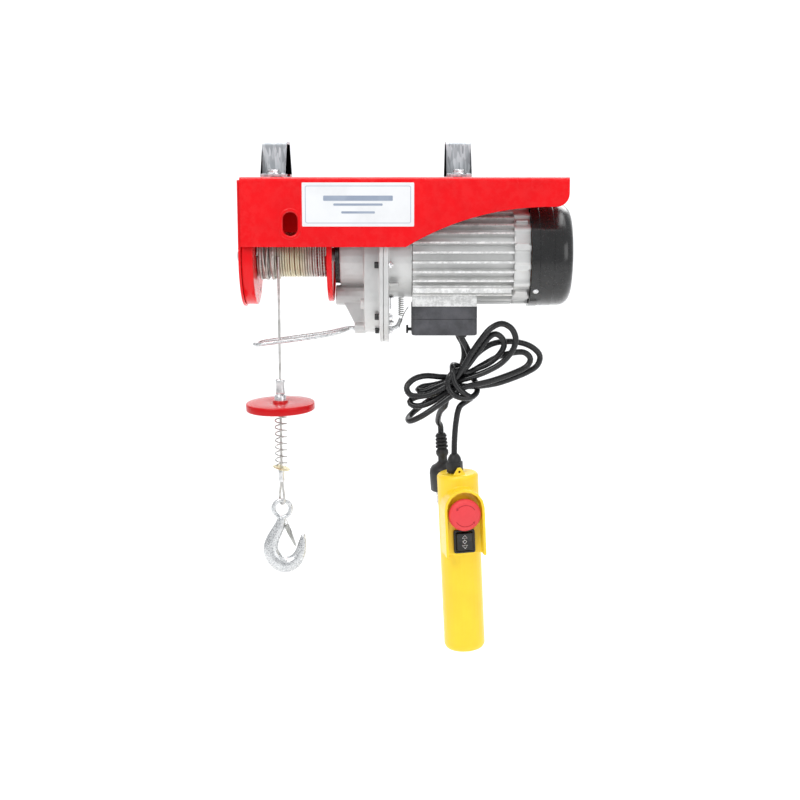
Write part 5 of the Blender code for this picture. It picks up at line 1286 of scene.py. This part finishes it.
def fan_cover():
    lo, hi = low("fan_cover"), high("fan_cover")
    edge = hi.y
    sheet = 1.4 * MM
    step_a, step_b = 205 * MM, 222 * MM
    outer = [(edge, lo.x), (edge, step_a - 0.6 * MM), (edge - 0.7 * MM, step_a),
             (edge - 0.7 * MM, step_b - 0.6 * MM),
             (edge - 1.4 * MM, step_b), (edge - 1.4 * MM, hi.x - 14 * MM)]
    r = 14 * MM
    outer += [(edge - 1.4 * MM - r + r * cos(k * pi / 12),
               hi.x - r + r * sin(k * pi / 12)) for k in range(1, 7)]
    outer += [(45 * MM, hi.x)]
    inner = [(45 * MM, hi.x - sheet), (edge - 1.4 * MM - r, hi.x - sheet)]
    inner += [(edge - 1.4 * MM - r + (r - sheet) * sin(k * pi / 12),
               hi.x - r + (r - sheet) * cos(k * pi / 12))
              for k in range(1, 7)]
    inner += [(edge - 1.4 * MM - sheet, lo.x)]
    shapes = [ring(outer + inner, "x", AXIS, 128)]
    for radius in (39.5, 34, 28.5, 23, 17.5, 12):
        hoop = [(radius * MM, hi.x - sheet), (radius * MM, hi.x - 0.2 * MM),
                ((radius + 2.4) * MM, hi.x - 0.2 * MM),
                ((radius + 2.4) * MM, hi.x - sheet)]
        shapes.append(ring(hoop, "x", AXIS, 96))
    for k in range(8):
        spoke = cuboid((hi.x - sheet, -1.6 * MM, 6 * MM), (hi.x - 0.1 * MM, 1.6 * MM, 46 * MM))
        turn = Matrix.Translation(AXIS) @ Matrix.Rotation(2 * pi * k / 8, 4, "X")
        bmesh.ops.transform(spoke, matrix=turn, verts=spoke.verts)
        shapes.append(spoke)
    shapes.append(lathe([(0, hi.x - sheet), (0, hi.x), (9 * MM, hi.x), (9.6 * MM, hi.x - 0.6 * MM),
                         (9.6 * MM, hi.x - sheet), (0, hi.x - sheet)], "x", AXIS, 48))
    add("fan_cowl", merged(*shapes), "black_gloss", "root", 35, ["fan_cover"])
    for k, angle in enumerate((-41, 79, 199)):
        a = radians(angle)
        base = Vector((201 * MM, -cos(a) * (edge - 0.3 * MM), AXIS.z + sin(a) * (edge - 0.3 * MM)))
        out = Vector((0, -cos(a), sin(a)))
        place = Matrix.Translation(base) @ Vector((0, 0, 1)).rotation_difference(out).to_matrix().to_4x4()
        head = [(0, -0.6 * MM), (3.4 * MM, -0.6 * MM), (3.4 * MM, 0.4 * MM), (2.6 * MM, 1.3 * MM),
                (1.2 * MM, 1.7 * MM),
                (0, 1.75 * MM)]
        screw_head = carved(lathe(head, place=place, steps=32),
                            cuboid((-2.2 * MM, -0.4 * MM, 0.9 * MM), (2.2 * MM, 0.4 * MM, 3 * MM), place),
                            cuboid((-0.4 * MM, -2.2 * MM, 0.9 * MM), (0.4 * MM, 2.2 * MM, 3 * MM), place))
        add(f"cowl_screw_{k}", screw_head, "bolt", "root", 35)


def build_switch_box():
    """Two grained halves with rounded corners and a parting line."""
    add("switch_box_base_shell", box_half("switch_box_base", 0.8 * MM), "box", "root", 35,
        ["switch_box_base"])
    cover = box_half("switch_box_cover", 2 * MM, upside_down=True)
    for y in (-27, 27):
        for x in (60, 126):
            at = Vector((x * MM, y * MM, low("switch_box_cover").z))
            well = lathe([(0, -MM), (3.6 * MM, -MM), (3.6 * MM, 2.4 * MM), (0, 2.4 * MM)], "z", at, 24)
            cover = carved(cover, well)
            head = [(0, 0.5 * MM), (2.9 * MM, 0.9 * MM), (2.9 * MM, 2.5 * MM), (0, 2.5 * MM)]
            add(f"box_screw_{x}_{'front' if y < 0 else 'back'}", lathe(head, "z", at, 24), "bolt", "root",
                40)
    add("switch_box_cover_shell", cover, "box", "root", 35, ["switch_box_cover"])


def box_half(node, rounding, upside_down=False):
    """One half of the switch box: well rounded on its far side and a little at the parting line."""
    lo, hi = low(node), high(node)
    outline = eased([(lo.x, lo.y), (hi.x, lo.y), (hi.x, hi.y), (lo.x, hi.y)], 6 * MM, 6)
    bm = prism(outline, "z", lo.z, hi.z)
    far, seam = (lo.z, hi.z) if upside_down else (hi.z, lo.z)
    for level, width, segments in ((far, rounding, 4), (seam, 0.5 * MM, 2)):
        edges = [e for e in bm.edges if all(abs(v.co.z - level) < 0.01 * MM for v in e.verts)]
        bmesh.ops.bevel(bm, geom=edges, offset=width, affect="EDGES", segments=segments, profile=0.5,
                        material=-1,
                        clamp_overlap=True)
    return bm


# Pendant


def build_pendant():
    """Two moulded halves with the shroud, lugs, gland, stop button, bezel and rocker."""
    radius, bottom = 25.7 * MM, -226 * MM
    foot = [(0, bottom - 2 * MM), (radius - 6 * MM, bottom - 2 * MM), (radius - 2 * MM, bottom),
            (radius, bottom + 4 * MM), (radius, bottom + 15 * MM), (0, bottom + 15 * MM)]
    for node, cut_low, cut_high in (("pendant_front", -0.15, 60), ("pendant_back", -60, 0.15)):
        cutter = cuboid((-60 * MM, cut_low * MM, 2 * bottom), (60 * MM, cut_high * MM, 0.1), PENDANT)
        half = carved(lathe(foot, place=PENDANT, steps=64), cutter)
        shapes = [node_shape(node), half]
        if node == "pendant_back":
            shapes.append(soften(cuboid((-3.2 * MM, MM, bottom - 10 * MM), (3.2 * MM, 5 * MM, bottom),
                                        PENDANT), MM))
        add(f"{node}_shell", cast_skin(merged(*shapes), 0.9 * MM, 5), "yellow", "root", 0, [node])
    gland()
    button()
    rocker()


def gland():
    at = PENDANT @ Matrix.Translation((-3 * MM, 0, 0))
    nut = soften(prism(hexagon(18.2 * MM), "z", 0.8 * MM, 14 * MM, place=at), 0.8 * MM)
    dome = [(3.9 * MM, 13.5 * MM), (8.4 * MM, 13.5 * MM), (8.4 * MM, 16.5 * MM), (7.6 * MM, 19.5 * MM),
            (5.6 * MM, 22.6 * MM), (4.4 * MM, 23.8 * MM), (3.9 * MM, 24 * MM)]
    cap = ring(dome, place=at, steps=48)
    add("pendant_gland_nut", merged(nut, cap), "black", "root", 35, ["pendant_gland"])


def button():
    at = PENDANT @ Matrix.Translation((0, 0, -45 * MM)) @ laid("front")
    face = 27 * MM
    back = face + 6.3 * MM
    cap = [(0, back + 14 * MM)]
    cap += [(20 * MM * sin(radians(a)) * 0.955,
             back + 7.6 * MM + 6.4 * MM * cos(radians(a))) for a in range(8, 88, 8)]
    cap += [(20 * MM, back + 6.8 * MM), (20 * MM, back + 4.6 * MM), (19.2 * MM, back + 3.6 * MM),
            (15 * MM, back),
            (0, back)]
    add("stop_mushroom", lathe(cap, place=at, steps=96), "red_plastic", "stop_button", 40,
        ["stop_button"])
    shapes = []
    for k in range(2):
        start = radians(30 + 180 * k)
        arc = []
        for j in range(19):
            a = start + radians(100) * j / 18
            radius = 13.4 * MM
            height = back + 7.6 * MM + 6.4 * MM * sqrt(max(0, 1 - (radius / (19.1 * MM)) ** 2)) + 0.05 * MM
            arc.append(at @ Vector((radius * cos(a), radius * sin(a), height)))
        shapes.append(tube(arc, 0.45 * MM, 2))
        tip = start + radians(104)
        radius = 13.4 * MM
        height = back + 7.6 * MM + 6.4 * MM * sqrt(1 - (radius / (19.1 * MM)) ** 2) + 0.1 * MM
        head = []
        for r, a in ((radius - 2 * MM, tip - 0.02), (radius + 2 * MM, tip - 0.02), (radius, tip + 0.22)):
            head.append((r * cos(a), r * sin(a)))
        shapes.append(prism(head, "z", height - 0.3 * MM, height + 0.3 * MM, place=at))
    add("stop_arrows", merged(*shapes), "red_arrow", "stop_button", 40)
    stem = lathe([(0, face - 3 * MM), (8.2 * MM, face - 3 * MM), (8.2 * MM, face + 1.2 * MM),
                  (7.4 * MM, face + 1.6 * MM), (0, face + 1.6 * MM)], place=at, steps=48)
    add("stop_collar", stem, "black", "root", 40)


def rocker():
    at = PENDANT @ Matrix.Translation((0, 0, -81 * MM))
    x, z = 13.25 * MM, 14.75 * MM
    outer = eased([(-x, -z), (x, -z), (x, z), (-x, z)], 2.4 * MM, 5)
    hole = eased([(-10.3 * MM, -12.2 * MM), (10.3 * MM, -12.2 * MM), (10.3 * MM, 12.2 * MM),
                  (-10.3 * MM, 12.2 * MM)],
                 0.8 * MM, 3)
    face = 27.3 * MM
    frame_bm = carved(prism(outer, "z", face, face + 3.2 * MM, place=at @ laid("front")),
                      prism(hole, "z", face - 5 * MM, face + 8 * MM, place=at @ laid("front")))
    obj = add("bezel_frame", frame_bm, "black", "root", 35, ["rocker_bezel"])
    round_edges(obj, 0.6 * MM, 3, 50)
    obj = add("rocker_key", node_shape("rocker"), "black", "rocker", 25, ["rocker"])
    round_edges(obj, 0.7 * MM, 3, 30)

    def spot(u, v):
        return at @ laid("front") @ Vector((u * MM, v * MM, face + (4.3 + abs(v) / 12 * 2) * MM))

    marks = []
    for outline in (
        [(0, 8.4), (3.2, 4.6), (-3.2, 4.6)], [(0, -8.4), (3.2, -4.6), (-3.2, -4.6)],
        [(0, 2.6), (2.4, 0), (0, -2.6), (-2.4, 0)],
    ):
        marks.append(tube([spot(u, v) for u, v in outline], 0.38 * MM, 2, closed=True))
    add("rocker_arrows", merged(*marks), "white", "rocker", 40)


# Materials on the CAD nodes that stay in view


SLOT_FINISHES = {
    "red_paint": "red", "galvanised": "galvanised", "zinc": "bolt", "yellow_zinc": "yellow_zinc",
    "steel": "steel", "aluminium": "aluminium", "bronze": "bronze", "copper": "copper", "rope": "rope",
    "cast": "cast", "black_gloss": "black_gloss", "black_plastic": "black", "box_black": "box",
    "lead": "sheath",
    "yellow": "yellow", "red_plastic": "red_plastic", "capacitor": "sticker",
}


def dress_nodes():
    """Gives every CAD node its procedural material, by its slot."""
    slots = {part["node"]: part["material_slot"] for part in frame["record"]["subparts"]}
    for node, obj in frame["nodes"].items():
        obj.data.materials.clear()
        obj.data.materials.append(FINISHES[SLOT_FINISHES[slots[node]]])


# Stage


def build_stage(settings):
    """Pale floor and backdrop, soft studio lights and the camera."""
    bm = bmesh.new()
    floor = -0.75
    outline = [(-3.5, floor), (1.6, floor)] + [
        (1.6 + 1.2 * sin(pi / 2 * k / 12), floor + 1.2 - 1.2 * cos(pi / 2 * k / 12)) for k in range(1, 13)
    ] + [(2.8, 4.0)]
    rows = [[bm.verts.new((x, y, z)) for y, z in outline] for x in (-5.0, 5.0)]
    for k in range(len(outline) - 1):
        bm.faces.new((rows[0][k], rows[0][k + 1], rows[1][k + 1], rows[1][k]))
    bmesh.ops.recalc_face_normals(bm, faces=bm.faces)
    mesh = bpy.data.meshes.new("backdrop")
    bm.to_mesh(mesh)
    bm.free()
    mesh.shade_smooth()
    paper = Finish("backdrop_paper", 0.9)
    tone = paper.use("tone", main=tuple(settings.backdrop), other=shade(settings.backdrop, 0.99), scale=1.5)
    paper.colour(tone["Colour"])
    mesh.materials.append(paper.done())
    obj = bpy.data.objects.new("backdrop", mesh)
    bpy.context.scene.collection.objects.link(obj)
    middle_of_view = (0.03, 0, -0.2)
    lights = (
        ("key_light", (-1.0, -1.5, 1.2), middle_of_view, 0.9, 17.0),
        ("fill_light", (1.5, -1.5, 0.2), middle_of_view, 1.1, 8.0),
        ("top_light", (0.0, -0.1, 1.5), middle_of_view, 1.4, 13.0),
        ("rim_light", (0.6, 1.3, 0.9), middle_of_view, 0.9, 9.0),
        ("backdrop_light", (0.0, 0.6, 2.6), (0.0, 2.6, 0.2), 3.0, 60.0),
    )
    for name, place, target, size, power in lights:
        data = bpy.data.lights.new(name, "AREA")
        data.size = size
        data.energy = power * settings.light
        lamp = bpy.data.objects.new(name, data)
        lamp.location = place
        aim = Vector(target) - Vector(place)
        lamp.rotation_euler = aim.to_track_quat("-Z", "Y").to_euler()
        bpy.context.scene.collection.objects.link(lamp)
    world = bpy.data.worlds.new("studio")
    world.use_nodes = True
    tree = world.node_tree
    sky = tree.nodes["Background"]
    sky.inputs["Color"].default_value = (0.95, 0.97, 1.0, 1)
    sky.inputs["Strength"].default_value = settings.sky
    bpy.context.scene.world = world
    data = bpy.data.cameras.new("camera")
    data.lens = 58.37
    data.sensor_width = 36
    camera = bpy.data.objects.new("camera", data)
    camera.location = (0.0398, -1.588, 0.0)
    camera.rotation_euler = (radians(90 - 9.75), 0, 0)
    bpy.context.scene.collection.objects.link(camera)
    bpy.context.scene.camera = camera
    bpy.context.scene.view_settings.view_transform = "Standard"


# Settings, operators and panel


class HoistSizes(bpy.types.PropertyGroup):
    lead: bpy.props.FloatProperty(
        name="Lead", description="Diameter of the control and mains leads", unit="LENGTH", precision=4,
        default=7.4 * MM, min=4 * MM, max=10 * MM)
    lay: bpy.props.FloatProperty(
        name="Rope lay", description="Length of one turn of the strands in the hanging rope", unit="LENGTH",
        precision=4, default=12 * MM, min=6 * MM, max=30 * MM)
    wound_lay: bpy.props.FloatProperty(
        name="Wound rope lay", description="Length of one turn of the strands in the rope on the drum",
        unit="LENGTH", precision=4, default=13 * MM, min=6 * MM, max=30 * MM)
    strands: bpy.props.IntProperty(
        name="Strands", description="Strands laid round the rope", default=6, min=3, max=8)
    window_rim: bpy.props.FloatProperty(
        name="Window rim", description="Radius of the pressed rim round the channel's window",
        unit="LENGTH",
        precision=4, default=1.9 * MM, min=0.5 * MM, max=3 * MM)


class HoistColours(bpy.types.PropertyGroup):
    paint: bpy.props.FloatVectorProperty(
        name="Paint", description="Colour of the frame, drum and limit weight", subtype="COLOR", size=3,
        min=0, max=1, default=(0.80, 0.002, 0.006))
    casting: bpy.props.FloatVectorProperty(
        name="Casting", description="Colour of the die-cast aluminium", subtype="COLOR", size=3,
        min=0, max=1, default=(0.66, 0.66, 0.65))
    pendant: bpy.props.FloatVectorProperty(
        name="Pendant", description="Colour of the hand-held control", subtype="COLOR", size=3,
        min=0, max=1, default=(0.97, 0.67, 0.02))


class HoistStage(bpy.types.PropertyGroup):
    backdrop: bpy.props.FloatVectorProperty(
        name="Backdrop", description="Colour of the floor and backdrop", subtype="COLOR", size=3,
        min=0, max=1, default=(0.92, 0.92, 0.92))
    light: bpy.props.FloatProperty(
        name="Light", description="Strength of the studio lights", subtype="FACTOR", default=1.0, min=0,
        max=10)
    sky: bpy.props.FloatProperty(
        name="Sky", description="Strength of the light from all round", subtype="FACTOR", default=0.6,
        min=0, max=10)


class HOIST_OT_materials(bpy.types.Operator):
    """Make the materials and dress the plain nodes"""

    bl_idname = "hoist.materials"
    bl_label = "Materials"

    def execute(self, context):
        build_finishes(context.scene.hoist_colours)
        dress_nodes()
        return {"FINISHED"}


class HOIST_OT_frame(bpy.types.Operator):
    """Build the channel, its window rim and its label"""

    bl_idname = "hoist.channel_frame"
    bl_label = "Channel frame"

    def execute(self, context):
        build_channel()
        return {"FINISHED"}


class HOIST_OT_straps(bpy.types.Operator):
    """Build the straps and their bolts"""

    bl_idname = "hoist.beam_straps"
    bl_label = "Beam straps"

    def execute(self, context):
        build_straps()
        return {"FINISHED"}


class HOIST_OT_drum(bpy.types.Operator):
    """Build the end plate, drum, wound rope and the black ring of painted shade"""

    bl_idname = "hoist.rope_drum"
    bl_label = "Rope drum"

    def execute(self, context):
        build_drum()
        return {"FINISHED"}


class HOIST_OT_line(bpy.types.Operator):
    """Build the rope fall, weight, spring and rope eye"""

    bl_idname = "hoist.hook_line"
    bl_label = "Hook line"

    def execute(self, context):
        build_hook_line()
        return {"FINISHED"}


class HOIST_OT_hook(bpy.types.Operator):
    """Build the hook and its latch"""

    bl_idname = "hoist.load_hook"
    bl_label = "Load hook"

    def execute(self, context):
        build_hook()
        return {"FINISHED"}


class HOIST_OT_case(bpy.types.Operator):
    """Build the gear case and motor flange"""

    bl_idname = "hoist.gear_case"
    bl_label = "Gear case"

    def execute(self, context):
        build_gear_case()
        return {"FINISHED"}


class HOIST_OT_lever(bpy.types.Operator):
    """Build the limit lever, spring and plunger"""

    bl_idname = "hoist.limit_lever"
    bl_label = "Limit lever"

    def execute(self, context):
        build_lever()
        return {"FINISHED"}


class HOIST_OT_motor(bpy.types.Operator):
    """Build the motor housing, end shield and fan cover"""

    bl_idname = "hoist.motor"
    bl_label = "Motor"

    def execute(self, context):
        build_motor()
        return {"FINISHED"}


class HOIST_OT_box(bpy.types.Operator):
    """Build the switch box"""

    bl_idname = "hoist.switch_box"
    bl_label = "Switch box"

    def execute(self, context):
        build_switch_box()
        return {"FINISHED"}


class HOIST_OT_pendant(bpy.types.Operator):
    """Build the hand-held control"""

    bl_idname = "hoist.pendant"
    bl_label = "Pendant"

    def execute(self, context):
        build_pendant()
        return {"FINISHED"}


class HOIST_OT_leads(bpy.types.Operator):
    """Build the control lead, mains lead and plug"""

    bl_idname = "hoist.leads"
    bl_label = "Leads"

    def execute(self, context):
        build_leads()
        return {"FINISHED"}


class HOIST_OT_stage(bpy.types.Operator):
    """Build the backdrop, lights and camera"""

    bl_idname = "hoist.stage"
    bl_label = "Stage"

    def execute(self, context):
        build_stage(context.scene.hoist_stage)
        return {"FINISHED"}


OPERATORS = [
    HOIST_OT_materials, HOIST_OT_frame, HOIST_OT_straps, HOIST_OT_drum, HOIST_OT_line,
    HOIST_OT_hook, HOIST_OT_case, HOIST_OT_lever, HOIST_OT_motor, HOIST_OT_box, HOIST_OT_pendant,
    HOIST_OT_leads, HOIST_OT_stage,
]


class HOIST_PT_looks(bpy.types.Panel):
    """The hoist's sizes and colours, and its build steps in order"""

    bl_label = "Hoist"
    bl_space_type = "VIEW_3D"
    bl_region_type = "UI"
    bl_category = "Hoist"

    def draw(self, context):
        scene = context.scene
        for settings in (scene.hoist_sizes, scene.hoist_colours, scene.hoist_stage):
            for name in settings.__annotations__:
                self.layout.prop(settings, name)
        for made in OPERATORS:
            self.layout.operator(made.bl_idname)


CLASSES = [HoistSizes, HoistColours, HoistStage, *OPERATORS, HOIST_PT_looks]


def register():
    for made in CLASSES:
        bpy.utils.register_class(made)
    bpy.types.Scene.hoist_sizes = bpy.props.PointerProperty(type=HoistSizes)
    bpy.types.Scene.hoist_colours = bpy.props.PointerProperty(type=HoistColours)
    bpy.types.Scene.hoist_stage = bpy.props.PointerProperty(type=HoistStage)


def unregister():
    del bpy.types.Scene.hoist_stage
    del bpy.types.Scene.hoist_colours
    del bpy.types.Scene.hoist_sizes
    for made in reversed(CLASSES):
        bpy.utils.unregister_class(made)


def main():
    register()
    for made in OPERATORS:
        getattr(bpy.ops.hoist, made.bl_idname.split(".")[1])()
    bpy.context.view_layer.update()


if __name__ == "__main__":
    main()
